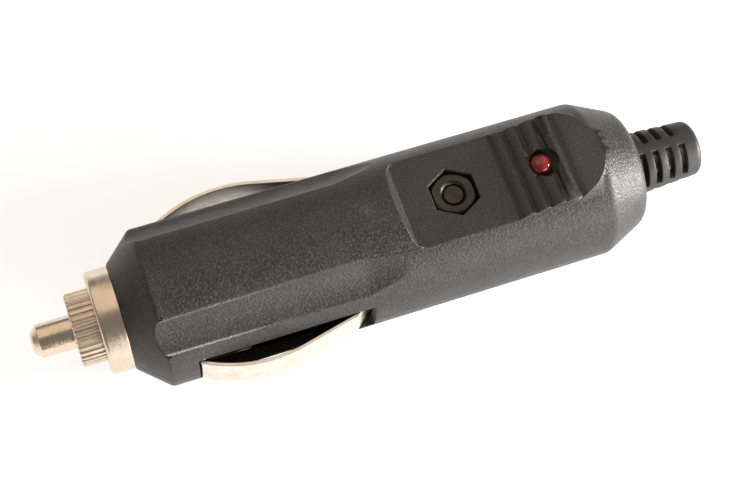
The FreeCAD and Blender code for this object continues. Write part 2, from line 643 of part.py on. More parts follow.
def make_collar():
    """The nickel collar: the ring in sight, a neck, and a flange that the case traps."""
    seat_floor = "(cap_head + thread_gap)"
    collar = turned("collar", [
        ("ring_start", "cap_radius + cap_seat_gap"),
        ("ring_start", "ring_radius", "ring_round"),
        (CASE_FRONT, "ring_radius"), (CASE_FRONT, "collar_neck_radius"),
        (COLLAR_FLANGE_START, "collar_neck_radius"),
        (COLLAR_FLANGE_START, "collar_flange_radius"), (COLLAR_REAR, "collar_flange_radius"),
        (COLLAR_REAR, "cap_thread_radius + thread_gap"),
        (seat_floor, "cap_thread_radius + thread_gap"),
        (seat_floor, "cap_radius + cap_seat_gap")])
    node(collar, "nose_collar")


def make_nose_cap():
    """The knurled screw cap that holds the fuse in."""
    cap = turned("cap", [
        ("0", "pin_radius + pin_gap"), ("0", "cap_radius", "cap_edge"),
        ("cap_head", "cap_radius"),
        ("cap_head", "cap_thread_radius"), ("cap_head + cap_thread", "cap_thread_radius"),
        ("cap_head + cap_thread", "cap_bore"), ("cap_front_wall", "cap_bore"),
        ("cap_front_wall", "pin_radius + pin_gap")])
    count = int(amount_of("flute_count"))
    flutes = []
    for number in range(count):
        angle = f"({number} * 360 / flute_count)"
        flutes.append(cylinder(f"flute_{number}", "x", "flute_radius", "cap_head + 2", "-1",
                               f"cap_radius * sin({angle})", f"cap_radius * cos({angle})"))
    node(cut("cap_knurled", cap, flutes), "nose_cap")


def make_centre_contact():
    """The centre contact: a round-tipped pin with a flange behind the cap's front wall."""
    pin = turned("pin", [
        ("-pin_reach", "0"), ("-pin_reach", "pin_tip_radius", "pin_dome"),
        ("-pin_reach + pin_taper", "pin_radius"),
        (PIN_FLANGE_START, "pin_radius"), (PIN_FLANGE_START, "pin_flange_radius"),
        (FUSE_START, "pin_flange_radius"), (FUSE_START, "0")])
    node(pin, "centre_contact")


def make_fuse():
    """The glass fuse: tube, wire and two end caps."""
    glass_start = f"({FUSE_START} + fuse_end_wall)"
    glass_end = f"({FUSE_END} - fuse_end_wall)"
    inner = "(fuse_glass_radius - fuse_glass_wall)"
    node(turned("glass", [(glass_start, inner), (glass_start, "fuse_glass_radius"),
                          (glass_end, "fuse_glass_radius"), (glass_end, inner)]),
         "fuse_glass_tube")
    node(cylinder("fuse_element", "x", "fuse_wire_radius", f"{glass_end} - {glass_start}",
                  glass_start), "fuse_wire")
    for name, end, inward in (("fuse_end_cap_front", FUSE_START, "+"),
                              ("fuse_end_cap_rear", FUSE_END, "-")):
        floor = f"({end} {inward} fuse_end_wall)"
        mouth = f"({end} {inward} fuse_end_cap)"
        hollow = "(fuse_glass_radius + fuse_glass_gap)"
        corners = [(end, "0"), (end, "fuse_radius"), (mouth, "fuse_radius"), (mouth, hollow),
                   (floor, hollow), (floor, "0")]
        node(turned(f"{name}_cup", corners), name)


def make_contact_spring():
    """The coil spring that pushes the fuse and the centre contact forward."""
    coil = doc.addObject("Part::Helix", "coil")
    bind(coil, "Pitch", "(spring_length - 2 * spring_wire_radius) / spring_turns")
    bind(coil, "Height", "spring_length - 2 * spring_wire_radius")
    bind(coil, "Radius", "spring_radius")
    section = doc.addObject("Part::Circle", "coil_section")
    bind(section, "Radius", "spring_wire_radius")
    place(section, "spring_radius", "0", "0", (1, 0, 0), "90")
    doc.recompute()
    sweep = doc.addObject("Part::Sweep", "coil_wire")
    sweep.Sections = [section]
    sweep.Spine = (coil, [f"Edge{n}" for n in range(1, len(coil.Shape.Edges) + 1)])
    sweep.Solid = True
    sweep.Frenet = True
    place(sweep, f"{FUSE_END} + spring_wire_radius", "0", "0", (0, 1, 0), "90")
    node(sweep, "contact_spring")


def make_positive_terminal():
    """The plate behind the spring, with a solder tab that comes through the wall."""
    plate = cylinder("terminal_plate", "x", "terminal_radius", "terminal_sheet", TERMINAL_FRONT)
    tab = box("terminal_tab", (TERMINAL_FRONT, TAB_END), ("-tab_width / 2", "tab_width / 2"),
              ("-terminal_sheet / 2", "terminal_sheet / 2"))
    hole = cylinder("terminal_hole", "z", "tab_hole_radius", "4 * terminal_sheet",
                    f"{TAB_END} - tab_width / 2", "0", "-2 * terminal_sheet")
    node(cut("terminal", fuse("terminal_blank", [plate, tab]), [hole]), "positive_terminal")


def strip_path():
    """The outer face of a side contact seen along Z: foot, leg, bow, tail and foot."""
    front = "(slot_start + contact_end_gap)"
    foot = f"({INSIDE} - contact_under_wall)"
    peak = "(slot_start + contact_peak)"
    centre = "(case_radius + contact_bow - contact_bow_radius)"
    turn = "(slot_start + contact_tail_start)"
    turn_out = "(case_radius - contact_tail_sink)"
    tail_end = f"({turn} + contact_tail_length)"
    points = [FreeCAD.Vector(amount_of(across), amount_of(up), 0) for across, up in (
        (f"{front} - contact_foot", foot), (front, foot), (front, "case_radius"),
        (peak, centre), (f"{peak} + contact_bow_radius / 2", "case_radius"),
        (turn, turn_out), (tail_end, foot), (f"{tail_end} + contact_foot", foot))]
    start, knee, leg_top, middle, touch, dive, landing, end = points
    circle = Part.Circle(middle, FreeCAD.Vector(0, 0, 1), amount_of("contact_bow_radius"))
    sketch = doc.addObject("Sketcher::SketchObject", "strip_path")
    sketch.addGeometry([Part.LineSegment(start, knee), Part.LineSegment(knee, leg_top),
                        Part.ArcOfCircle(circle, math.radians(65), math.radians(125)),
                        Part.LineSegment(touch, dive), Part.LineSegment(dive, landing),
                        Part.LineSegment(landing, end)])
    for first, first_end, second, second_end in ((0, 2, 1, 1), (1, 2, 2, 2), (3, 2, 4, 1),
                                                 (4, 2, 5, 1)):
        sketch.addConstraint(Sketcher.Constraint("Coincident", first, first_end,
                                                 second, second_end))
    sketch.addConstraint(Sketcher.Constraint("Tangent", 2, 1, 3, 1))
    for kind, edge, corner, words in (
            ("DistanceX", 0, 1, f"{front} - contact_foot"), ("DistanceY", 0, 1, foot),
            ("DistanceX", 1, 1, front), ("DistanceY", 1, 1, foot), ("DistanceX", 1, 2, front),
            ("DistanceX", 2, 3, peak), ("DistanceY", 2, 3, centre),
            ("DistanceX", 4, 1, turn), ("DistanceY", 4, 1, turn_out),
            ("DistanceX", 5, 1, tail_end), ("DistanceY", 5, 1, foot),
            ("DistanceX", 5, 2, f"{tail_end} + contact_foot"), ("DistanceY", 5, 2, foot)):
        tie(sketch, Sketcher.Constraint(kind, edge, corner, amount_of(words)), words)
    tie(sketch, Sketcher.Constraint("Radius", 2, amount_of("contact_bow_radius")),
        "contact_bow_radius")
    return sketch


def make_side_contacts():
    """The two bowed strips in the side slots, which spring inwards in the socket."""
    band = doc.addObject("Part::Offset2D", "strip_section")
    band.Source = strip_path()
    band.Mode = "Skin"
    band.Join = "Intersection"
    band.Fill = True
    bind(band, "Value", "contact_sheet")
    left = doc.addObject("Part::Extrusion", "strip_left")
    left.Base = band
    left.DirMode = "Custom"
    left.Dir = (0, 0, 1)
    left.Symmetric = True
    left.Solid = True
    bind(left, "LengthFwd", "contact_height")
    right = doc.addObject("Part::Mirroring", "strip_right")
    right.Source = left
    right.Normal = (0, 1, 0)
    node(left, "side_contact_left")
    node(right, "side_contact_right")


def make_earth_bridge():
    """The folded strip under the fuse bore whose arms rub on both side contacts."""
    deep = f"(-{TUNNEL_OUTSIDE} - bridge_under)"
    deeper = f"({deep} - bridge_sheet)"
    inner = f"({ARM_START} + bridge_sheet)"
    strip = ("bridge_place", "bridge_place + bridge_width")
    arms = ("bridge_start", "bridge_place + bridge_width")
    arm = (f"-{ARM_UNDER}", f"-{ARM_TOP}")
    wall = (deeper, f"-{ARM_TOP}")
    pieces = [box("bridge_cross", strip, (f"-{inner}", inner), (deeper, deep)),
              box("bridge_arm_left", arms, (ARM_START, ARM_END), arm),
              box("bridge_arm_right", arms, (f"-{ARM_END}", f"-{ARM_START}"), arm),
              box("bridge_wall_left", strip, (ARM_START, inner), wall),
              box("bridge_wall_right", strip, (f"-{inner}", f"-{ARM_START}"), wall)]
    node(fuse("bridge", pieces), "earth_bridge")


def make_screw_and_nut():
    """The case screw with its cross recess, and the nut in the panel's pocket."""
    length = f"{NUT_TOP} - screw_end_depth + {HEAD_SEAT}"
    shank = cylinder("screw_shank", "z", "screw_radius", length, "screw_place", "0",
                     f"-{HEAD_SEAT}")
    head = cylinder("screw_head", "z", "screw_head_radius", "screw_head_height",
                    "screw_place", "0", f"-{HEAD_FACE}")
    arm = "(recess_span / 2)"
    half = "(recess_width / 2)"
    deep = (f"-{HEAD_FACE} - 1", f"-{HEAD_FACE} + recess_depth")
    cross = [box("recess_a", (f"screw_place - {arm}", f"screw_place + {arm}"),
                 (f"-{half}", half), deep),
             box("recess_b", (f"screw_place - {half}", f"screw_place + {half}"),
                 (f"-{arm}", arm), deep)]
    node(cut("screw", fuse("screw_blank", [shank, head]), cross), "case_screw")
    blank = hexagon("nut_blank", "nut_width", "nut_height", "screw_place", NUT_SEAT)
    bore = cylinder("nut_bore", "z", "screw_radius + thread_gap", "nut_height + 2",
                    "screw_place", "0", f"{NUT_SEAT} - 1")
    sink = cone("nut_sink", "z", "screw_radius + thread_gap",
                "screw_radius + thread_gap + nut_chamfer", "nut_chamfer",
                "screw_place", "0", f"{NUT_TOP} - nut_chamfer")
    node(cut("nut", blank, [bore, sink]), "case_nut")


def make_lamp():
    """The small lamp with its dome, body and rim, and its two legs."""
    dome = doc.addObject("Part::Sphere", "lamp_dome")
    bind(dome, "Radius", "lamp_radius")
    place(dome, "lamp_place", "0", LAMP_SHOULDER)
    body = cylinder("lamp_body_part", "z", "lamp_radius", f"{LAMP_SHOULDER} - {LAMP_BOTTOM}",
                    "lamp_place", "0", LAMP_BOTTOM)
    rim = cylinder("lamp_rim_part", "z", "lamp_rim_radius", "lamp_rim", "lamp_place", "0",
                   LAMP_BOTTOM)
    node(fuse("lamp", [dome, body, rim]), "lamp_lens")
    legs = [cylinder(f"lamp_leg_{name}", "z", "lamp_leg_radius",
                     f"{LAMP_BOTTOM} - lead_radius",
                     f"lamp_place {side} lamp_leg_spacing / 2", "0", "lead_radius")
            for name, side in (("front", "-"), ("rear", "+"))]
    node(fuse("lamp_leg_pair", legs), "lamp_legs")


def make_resistor_and_leads():
    """The lamp's resistor, its two leads, and the lead from the lamp to the bridge."""
    start = "(screw_place + boss_radius + resistor_gap)"
    end = f"({start} + resistor_length)"
    near_leg = "(lamp_place - lamp_leg_spacing / 2)"
    far_leg = "(lamp_place + lamp_leg_spacing / 2)"
    node(cylinder("resistor_rod", "x", "resistor_radius", "resistor_length",
                  start, "resistor_offset", "0"), "resistor")
    front = wire_run("front_lead", "lead_radius", (start, "resistor_offset", "0"),
                     [("x", f"{start} - lead_bend"), ("y", "boss_radius + lead_gap + lead_radius"),
                      ("x", f"{TAB_END} - lead_radius"), ("y", "tab_width / 2")])
    rear = wire_run("rear_lead", "lead_radius", (end, "resistor_offset", "0"),
                    [("x", far_leg), ("y", "-lead_radius")])
    node(fuse("front_lead_wire", front), "resistor_lead_front")
    node(fuse("rear_lead_wire", rear), "resistor_lead_rear")
    level = f"(-{ARM_UNDER} - lead_radius)"
    lowest = f"({ARM_UNDER} + 2 * lead_radius)"
    beside = f"(-sqrt({INSIDE} ^ 2 - {lowest} ^ 2) + earth_lead_gap + lead_radius)"
    earth = wire_run("earth_lead", "lead_radius", ("bridge_place", beside, level),
                     [("x", near_leg), ("z", "0"), ("y", "lead_radius")])
    node(fuse("earth_lead_wire", earth), "earth_lead")


def make_cable_sleeve():
    """The soft cable sleeve: flange, neck and a tapered end with rows of windows."""
    end = f"({CASE_REAR} + sleeve_length)"
    limit = "0.95 * (sleeve_end_radius - sleeve_bore)"
    sleeve = turned("sleeve", [
        (FLANGE_FRONT, "sleeve_bore"), (FLANGE_FRONT, "sleeve_flange_radius"),
        (FLANGE_REAR, "sleeve_flange_radius"), (FLANGE_REAR, "sleeve_radius"),
        (CASE_REAR, "sleeve_radius"),
        (end, "sleeve_end_radius", f"min(sleeve_end_round; {limit})"), (end, "sleeve_bore")])
    windows = []
    count = int(amount_of("window_count"))
    outward = ("window_web", "sleeve_flange_radius")
    inward = ("-sleeve_flange_radius", "-window_web")
    for row, (across, height, shift, number_of) in enumerate((
            (inward, outward, "0", count), (inward, inward, "0", count),
            (outward, outward, "window_shift", count - 1),
            (outward, inward, "window_shift", count - 1))):
        for number in range(number_of):
            middle = f"({CASE_REAR} + window_first + {shift} + {number} * window_pitch)"
            along = (f"{middle} - window_width / 2", f"{middle} + window_width / 2")
            windows.append(box(f"window_{row}_{number}", along, across, height))
    node(cut("sleeve_windowed", sleeve, windows), "cable_sleeve")


make_case()
make_collar()
make_nose_cap()
make_centre_contact()
make_fuse()
make_contact_spring()
make_positive_terminal()
make_side_contacts()
make_earth_bridge()
make_screw_and_nut()
make_lamp()
make_resistor_and_leads()
make_cable_sleeve()
doc.recompute()

for thing in doc.Objects:
    if any(word in thing.State for word in ("Invalid", "Error")):
        raise RuntimeError(f"{thing.Name} failed: {thing.State}")
for thing in NODES:
    if thing.Shape.isNull() or not thing.Shape.isValid() or not thing.Shape.Solids:
        raise RuntimeError(f"{thing.Label} has no sound shape")

os.makedirs("parts", exist_ok=True)
for thing in NODES:
    thing.Shape.exportStep(f"parts/{thing.Label}.step")
    size = thing.Shape.BoundBox
    print(f"{thing.Label}: {len(thing.Shape.Solids)} solid, {thing.Shape.Volume:.1f} mm3, "
          f"x {size.XMin:.2f} to {size.XMax:.2f}, y {size.YMin:.2f} to {size.YMax:.2f}, "
          f"z {size.ZMin:.2f} to {size.ZMax:.2f}")
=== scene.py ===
import math

import bmesh
import bpy
import numpy as np
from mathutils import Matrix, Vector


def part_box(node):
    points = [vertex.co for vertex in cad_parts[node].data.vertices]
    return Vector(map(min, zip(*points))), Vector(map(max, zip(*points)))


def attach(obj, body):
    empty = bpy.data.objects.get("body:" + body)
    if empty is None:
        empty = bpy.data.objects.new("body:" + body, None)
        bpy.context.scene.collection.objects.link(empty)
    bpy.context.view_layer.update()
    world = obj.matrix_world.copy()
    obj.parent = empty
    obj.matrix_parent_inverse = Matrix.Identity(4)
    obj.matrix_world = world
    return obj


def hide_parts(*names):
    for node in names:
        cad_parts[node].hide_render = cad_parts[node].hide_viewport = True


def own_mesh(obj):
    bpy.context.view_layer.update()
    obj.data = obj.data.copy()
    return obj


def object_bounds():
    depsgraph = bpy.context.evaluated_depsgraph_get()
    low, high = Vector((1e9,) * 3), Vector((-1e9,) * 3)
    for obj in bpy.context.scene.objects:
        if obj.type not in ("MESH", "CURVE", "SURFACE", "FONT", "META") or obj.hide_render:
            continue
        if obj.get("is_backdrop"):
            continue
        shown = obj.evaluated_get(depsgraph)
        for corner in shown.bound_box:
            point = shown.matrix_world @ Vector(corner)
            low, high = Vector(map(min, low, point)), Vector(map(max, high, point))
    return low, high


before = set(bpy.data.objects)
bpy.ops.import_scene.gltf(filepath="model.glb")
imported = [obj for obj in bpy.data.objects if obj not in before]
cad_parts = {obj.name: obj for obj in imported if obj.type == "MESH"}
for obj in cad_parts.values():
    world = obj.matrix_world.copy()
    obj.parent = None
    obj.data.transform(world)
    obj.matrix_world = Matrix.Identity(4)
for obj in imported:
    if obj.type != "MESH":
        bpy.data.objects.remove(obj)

bl_info = {
    "name": "Twelve-volt socket plug",
    "version": (1, 0, 0),
    "blender": (4, 5, 0),
    "location": "3D View > Sidebar > Plug",
    "description": "A fused plug with side contacts, a lamp and a cable sleeve",
    "category": "Add Mesh",
}

MM = 0.001
SHARP_EDGE = 25.0  # degrees between two faces, from which their edge is rounded
TIN = (0.74, 0.73, 0.71)
DULL_TIN = (0.85, 0.84, 0.82)


# Outlines and surfaces. Every length is in millimetres until a mesh is filled.


def span(node):
    """Lowest and highest corner of a solid at rest, in millimetres."""
    low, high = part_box(node)
    return np.array(low) / MM, np.array(high) / MM


def outline(corners, closed=True, steps=5, margin=0.015):
    """Points along a run of (along, radius, round) corners.

    A corner's arc touches both of its runs at round times the tangent of half the turn
    from the corner. One more point just outside each end of the arc keeps the runs flat in
    the light. An open run keeps its two ends as they are."""
    corners = [tuple(corner) + (0,) * (3 - len(corner)) for corner in corners]
    spots = np.array([corner[:2] for corner in corners], float)
    rounds = np.array([corner[2] for corner in corners], float)
    if not closed:
        rounds[[0, -1]] = 0
    way_in = spots - np.roll(spots, 1, axis=0)
    way_in /= np.linalg.norm(way_in, axis=1, keepdims=True)
    way_out = np.roll(way_in, -1, axis=0)
    turn = np.arctan2(way_in[:, 0] * way_out[:, 1] - way_in[:, 1] * way_out[:, 0],
                      (way_in * way_out).sum(axis=1))
    reach = (rounds * np.tan(np.abs(turn) / 2))[:, None]
    start = spots - way_in * reach
    spoke = np.sign(turn)[:, None] * rounds[:, None] * np.stack([way_in[:, 1], -way_in[:, 0]], 1)
    angle = turn[:, None] * np.linspace(0, 1, steps + 1)[None, :]
    sweep = np.stack([spoke[:, 0, None] * np.cos(angle) - spoke[:, 1, None] * np.sin(angle),
                      spoke[:, 0, None] * np.sin(angle) + spoke[:, 1, None] * np.cos(angle)], 2)
    arcs = (start - spoke)[:, None, :] + sweep
    spare = margin * (rounds[:, None] > 0)
    points = np.concatenate([(start - way_in * spare)[:, None], arcs,
                             (spots + way_out * (reach + spare))[:, None]], axis=1)
    if closed:
        return points.reshape(-1, 2)
    return np.concatenate([spots[:1], points[1:-1].reshape(-1, 2), spots[-1:]])


def without_repeats(points):
    """The same run with points left out where they repeat the one before."""
    gaps = np.linalg.norm(np.diff(points, axis=0), axis=1)
    return points[np.concatenate([[True], gaps > 1e-5])]


def circle(steps):
    """Angles all the way round, in radians, without the last that repeats the first."""
    return np.linspace(0, 2 * math.pi, steps, endpoint=False)


def thread_wave(along, angle, pitch):
    """The height of a thread's flank: 0 to 1 and back once a pitch, and once a turn."""
    return np.abs((along / pitch - angle / (2 * math.pi)) % 1 - 0.5) * 2


def turned(along, radius, steps, upright_at=None):
    """A surface of revolution: along the axis, radius times sine and cosine across it.

    The radius may be one number for each row or one for each point. The axis is X, or a
    line parallel to Z through (x, 0) when that x is given."""
    angle = circle(steps)[None, :]
    along = np.asarray(along, float)
    radius = np.asarray(radius, float)
    if radius.ndim == 1:
        radius = radius[:, None]
    if along.ndim == 1:
        along = along[:, None]
    across = radius * np.sin(angle)
    up = radius * np.cos(angle)
    along = np.broadcast_to(along, up.shape)
    if upright_at is None:
        return np.stack([along, across, up], axis=2)
    return np.stack([upright_at + up, across, along], axis=2)


def tube(path, width, steps=16):
    """A round tube: at each point of the path, a circle across the path's own direction."""
    ahead = np.gradient(path, axis=0)
    ahead /= np.linalg.norm(ahead, axis=1, keepdims=True)
    side = np.cross(ahead, np.array([0.31, 0.22, 0.93]))
    side /= np.linalg.norm(side, axis=1, keepdims=True)
    over = np.cross(ahead, side)
    angle = circle(steps)
    width = np.broadcast_to(width, (len(path),))[:, None, None]
    ring = (side[:, None, :] * np.cos(angle)[None, :, None]
            + over[:, None, :] * np.sin(angle)[None, :, None])
    body = path[:, None, :] + ring * width
    first = np.repeat(path[:1][:, None, :], steps, axis=1)
    last = np.repeat(path[-1:][:, None, :], steps, axis=1)
    return np.concatenate([first, body, last])


def smooth_step(value, low, high):
    """0 below low, 1 above high, and an S between: 3 t squared less 2 t cubed."""
    share = np.clip((value - low) / (high - low), 0, 1)
    return share * share * (3 - 2 * share)


def closed_piece(name, grid, loop=True):
    """A mesh object from a grid of points: columns join end to end, and rows too in a loop."""
    rows, columns = grid.shape[:2]
    index = np.arange(rows * columns).reshape(rows, columns)
    beside = np.roll(index, -1, axis=1)
    below, corner = np.roll(index, -1, axis=0), np.roll(beside, -1, axis=0)
    quads = np.stack([index, beside, corner, below], axis=2)
    if not loop:
        quads = quads[:-1]
    mesh = bpy.data.meshes.new(name)
    mesh.from_pydata((grid.reshape(-1, 3) * MM).tolist(), [], quads.reshape(-1, 4).tolist())
    tidy(mesh)
    return shown(name, mesh)


def lathed(name, profile, steps, loop=True, upright_at=None):
    """A mesh object turned from a run of (along, radius) points."""
    return closed_piece(name, turned(profile[:, 0], profile[:, 1], steps, upright_at), loop)


def tidy(mesh):
    """Merges points that lie on each other and turns every face outwards."""
    work = bmesh.new()
    work.from_mesh(mesh)
    bmesh.ops.remove_doubles(work, verts=work.verts, dist=2e-7)
    bmesh.ops.dissolve_degenerate(work, edges=work.edges, dist=1e-8)
    bmesh.ops.recalc_face_normals(work, faces=work.faces)
    work.to_mesh(mesh)
    work.free()
    mesh.shade_smooth()


def shown(name, mesh):
    """Puts a mesh into the scene as an object of that name."""
    piece = bpy.data.objects.new(name, mesh)
    bpy.context.scene.collection.objects.link(piece)
    return piece


def rounded_copy(node, name, width, share=None):
    """A merged copy of a solid whose edges are rounded by a bevel.

    Where share is given, it takes an edge's middle in millimetres and its angle in degrees,
    and gives the part of the width that the edge is rounded by."""
    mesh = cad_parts[node].data.copy()
    mesh.name = name
    if "custom_normal" in mesh.attributes:
        mesh.attributes.remove(mesh.attributes["custom_normal"])
    work = bmesh.new()
    work.from_mesh(mesh)
    bmesh.ops.remove_doubles(work, verts=work.verts, dist=1e-6)
    bmesh.ops.dissolve_limit(work, angle_limit=math.radians(0.3), verts=work.verts,
                             edges=work.edges, delimit={"NORMAL"})
    if share is not None:
        part = work.edges.layers.float.new("bevel_weight_edge")
        for edge in work.edges:
            middle = (edge.verts[0].co + edge.verts[1].co) / (2 * MM)
            edge[part] = share(middle, math.degrees(edge.calc_face_angle(0.0)))
    work.to_mesh(mesh)
    work.free()
    mesh.shade_smooth()
    piece = shown(name, mesh)
    bevel = piece.modifiers.new("edges", "BEVEL")
    bevel.limit_method = "ANGLE" if share is None else "WEIGHT"
    bevel.angle_limit = math.radians(SHARP_EDGE)
    bevel.width = width * MM
    bevel.segments = 2 if share is None else 3
    bevel.use_clamp_overlap = False
    bevel.miter_outer = "MITER_ARC"
    even = piece.modifiers.new("even_light", "WEIGHTED_NORMAL")
    even.keep_sharp = True
    return piece


def case_edge(middle, angle):
    """Part of the full rounding for an edge of the case.

    The long flats' edges take all of it. The pad's rear takes none and its front a quarter,
    because a wide rounding crosses itself there. Every other sharp edge takes most of it."""
    x, y, z = middle
    shallow_edge, pad_low, pad_front, pad_rear = 8.0, 6.0, 55.0, 64.0
    if 9.8 < math.hypot(y, z) < 10.6 and 10.5 < x < 44.0 and 3.2 < abs(z) < 9.3:
        return 1.0 if angle > shallow_edge else 0.0
    if angle < SHARP_EDGE or (z > pad_low and x > pad_rear):
        return 0.0
    return 0.25 if z > pad_low and x > pad_front else 0.7


def fit(piece, body, slot, finish, *nodes):
    """Gives a piece its finish, its body and the solids that it stands for."""
    piece.data.materials.clear()
    piece.data.materials.append(finish)
    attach(piece, body)
    if nodes:
        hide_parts(*nodes)
    return piece


# Finishes. Lengths in them are metres, because they read the object's own coordinates.


def feed(tree, socket, value):
    """Links a socket to another's output, or sets it to a plain value."""
    if isinstance(value, bpy.types.NodeSocket):
        tree.links.new(value, socket)
    else:
        socket.default_value = value


def add(tree, kind, inputs=None, **options):
    """Adds a node with its options set and its inputs fed, by name or number."""
    made = tree.nodes.new(kind)
    for option, value in options.items():
        setattr(made, option, value)
    for which, value in (inputs or {}).items():
        feed(tree, made.inputs[which], value)
    return made


def blank_finish(name):
    """A new material, its node tree and its surface shader."""
    finish = bpy.data.materials.new(name)
    finish.use_nodes = True
    return finish, finish.node_tree, finish.node_tree.nodes["Principled BSDF"]


def own_place(tree):
    """The place on the object, in metres."""
    return add(tree, "ShaderNodeTexCoord").outputs["Object"]


def speckle(tree, place, size, detail=3.0, rough=0.6, stretch=None):
    """Noise whose grains are about that many millimetres across, stretched where asked."""
    if stretch is not None:
        place = add(tree, "ShaderNodeMapping", {"Vector": place, "Scale": stretch}).outputs[0]
    return add(tree, "ShaderNodeTexNoise", {"Vector": place, "Scale": 1 / (size * MM),
                                            "Detail": detail, "Roughness": rough}).outputs[0]


def ranged(tree, value, low, high, to_low, to_high):
    """Carries a value from one range to another, held at both ends."""
    return add(tree, "ShaderNodeMapRange", {"Value": value, "From Min": low, "From Max": high,
                                            "To Min": to_low, "To Max": to_high}).outputs[0]


def counted(tree, operation, first, second):
    """One sum of two values."""
    return add(tree, "ShaderNodeMath", {0: first, 1: second}, operation=operation).outputs[0]


def tinted(tree, factor, first, second):
    """One colour mixed into another by a factor."""
    made = add(tree, "ShaderNodeMix", data_type="RGBA")
    feed(tree, made.inputs[0], factor)
    feed(tree, made.inputs[6], first)
    feed(tree, made.inputs[7], second)
    return made.outputs[2]


def distance_to(tree, place, where):
    """How far a place is, in metres, from a point given in millimetres."""
    spot = tuple(part * MM for part in where)
    return add(tree, "ShaderNodeVectorMath", {0: place, 1: spot},
               operation="DISTANCE").outputs["Value"]


def opaque(colour, gain=1.0, lift=0.0):
    """A colour made lighter or darker, at most 1, with full cover."""
    return tuple(min(1.0, part * gain + lift) for part in colour) + (1.0,)


def edge_light(tree, width):
    """1 on edges and 0 on flats: how far the rounded normal turns from the plain one."""
    rounded = add(tree, "ShaderNodeBevel", {"Radius": width * MM}, samples=4).outputs[0]
    plain = add(tree, "ShaderNodeNewGeometry").outputs["Normal"]
    same = add(tree, "ShaderNodeVectorMath", {0: rounded, 1: plain}, operation="DOT_PRODUCT")
    return ranged(tree, same.outputs["Value"], 0.998, 0.9, 0.0, 1.0)


def raised(tree, height, strength, distance, normal=None):
    """A bump of that many millimetres for the surface shader's normal."""
    inputs = {"Strength": strength, "Distance": distance * MM, "Height": height}
    if normal is not None:
        inputs["Normal"] = normal
    return add(tree, "ShaderNodeBump", inputs).outputs[0]


def moulded_plastic(name, colour, grain, depth, roughness, edge_highlight, spots=()):
    """Black moulded plastic: a spark-eroded grain, uneven sheen, edges painted lighter as a
    painted highlight, and pale scuff spots.
    """
    finish, tree, shader = blank_finish(name)
    place = own_place(tree)
    fine = speckle(tree, place, grain, 2.0, 0.7)
    coarse = speckle(tree, place, grain * 6, 4.0)
    cloudy = speckle(tree, place, 11.0, 3.0)
    edges = edge_light(tree, 0.2)
    base = opaque(colour)
    pale = opaque(colour, 2.4, 0.03)
    scuffed_and_highlit = opaque(colour, 3.2, 0.05)
    grainy = tinted(tree, ranged(tree, fine, 0.46, 0.72, 0.0, 0.9), base, pale)
    dusty = tinted(tree, ranged(tree, cloudy, 0.42, 0.72, 0.0, 0.28), grainy, pale)
    # Edges are painted lighter here as a painted highlight; the listed spots below are real
    # scuffs in the same pale colour.
    scuffs_and_edge_highlight = counted(tree, "MULTIPLY", edges, ranged(tree, coarse, 0.35, 0.65, edge_highlight * 0.3, edge_highlight))
    for where, size, amount in spots:
        near = distance_to(tree, place, where)
        patch = ranged(tree, near, 0.15 * size * MM, size * MM, amount, 0.0)
        broken = ranged(tree, speckle(tree, place, 0.5, 4.0), 0.42, 0.6, 0.0, 1.0)
        scuffs_and_edge_highlight = counted(tree, "MAXIMUM", scuffs_and_edge_highlight, counted(tree, "MULTIPLY", patch, broken))
    feed(tree, shader.inputs["Base Color"], tinted(tree, scuffs_and_edge_highlight, dusty, scuffed_and_highlit))
    sheen = counted(tree, "ADD", ranged(tree, fine, 0.3, 0.7, roughness - 0.1, roughness + 0.1),
                    ranged(tree, coarse, 0.3, 0.7, -0.04, 0.05))
    feed(tree, shader.inputs["Roughness"], sheen)
    shader.inputs["Specular IOR Level"].default_value = 0.5
    soft = add(tree, "ShaderNodeBevel", {"Radius": 0.3 * MM}, samples=6).outputs[0]
    lumps = raised(tree, coarse, 0.35, depth * 1.6, soft)
    feed(tree, shader.inputs["Normal"], raised(tree, fine, 1.0, depth, lumps))
    return finish


def plated_metal(name, colour, roughness, stretch, dulled, grime=0.25, painted_glints=()):
    """Plated metal: turning or rolling marks along one way, dulled patches, grime in the grain.

    Each painted glint is a (place, size, colour) in millimetres where a paler painted highlight
    is laid on the metal."""
    finish, tree, shader = blank_finish(name)
    place = own_place(tree)
    lines = speckle(tree, place, 0.25, 4.0, 0.65, stretch)
    patches = speckle(tree, place, 1.6, 5.0, 0.62)
    pits = speckle(tree, place, 0.16, 2.0)
    base = opaque(colour)
    dull = tuple(part * shade for part, shade in zip(colour, dulled)) + (1.0,)
    mixed = tinted(tree, ranged(tree, patches, 0.42, 0.68, 0.0, 0.8), base, dull)
    grime_and_glints = tinted(tree, ranged(tree, pits, 0.6, 0.78, 0.0, grime), mixed,
                   (dull[0] * 0.35, dull[1] * 0.32, dull[2] * 0.28, 1.0))
    # Painted highlights: paler spots at given places, laid over the grime.
    for where, size, glint_colour in painted_glints:
        near = distance_to(tree, place, where)
        share = ranged(tree, near, 0.6 * size * MM, size * MM, 1.0, 0.0)
        grime_and_glints = tinted(tree, share, grime_and_glints, opaque(glint_colour))
    feed(tree, shader.inputs["Base Color"], grime_and_glints)
    shader.inputs["Metallic"].default_value = 1.0
    feed(tree, shader.inputs["Roughness"], counted(
        tree, "ADD", ranged(tree, lines, 0.3, 0.7, roughness - 0.05, roughness + 0.07),
        ranged(tree, patches, 0.35, 0.7, 0.0, 0.1)))
    feed(tree, shader.inputs["Normal"], raised(tree, lines, 0.5, 0.006))
    return finish


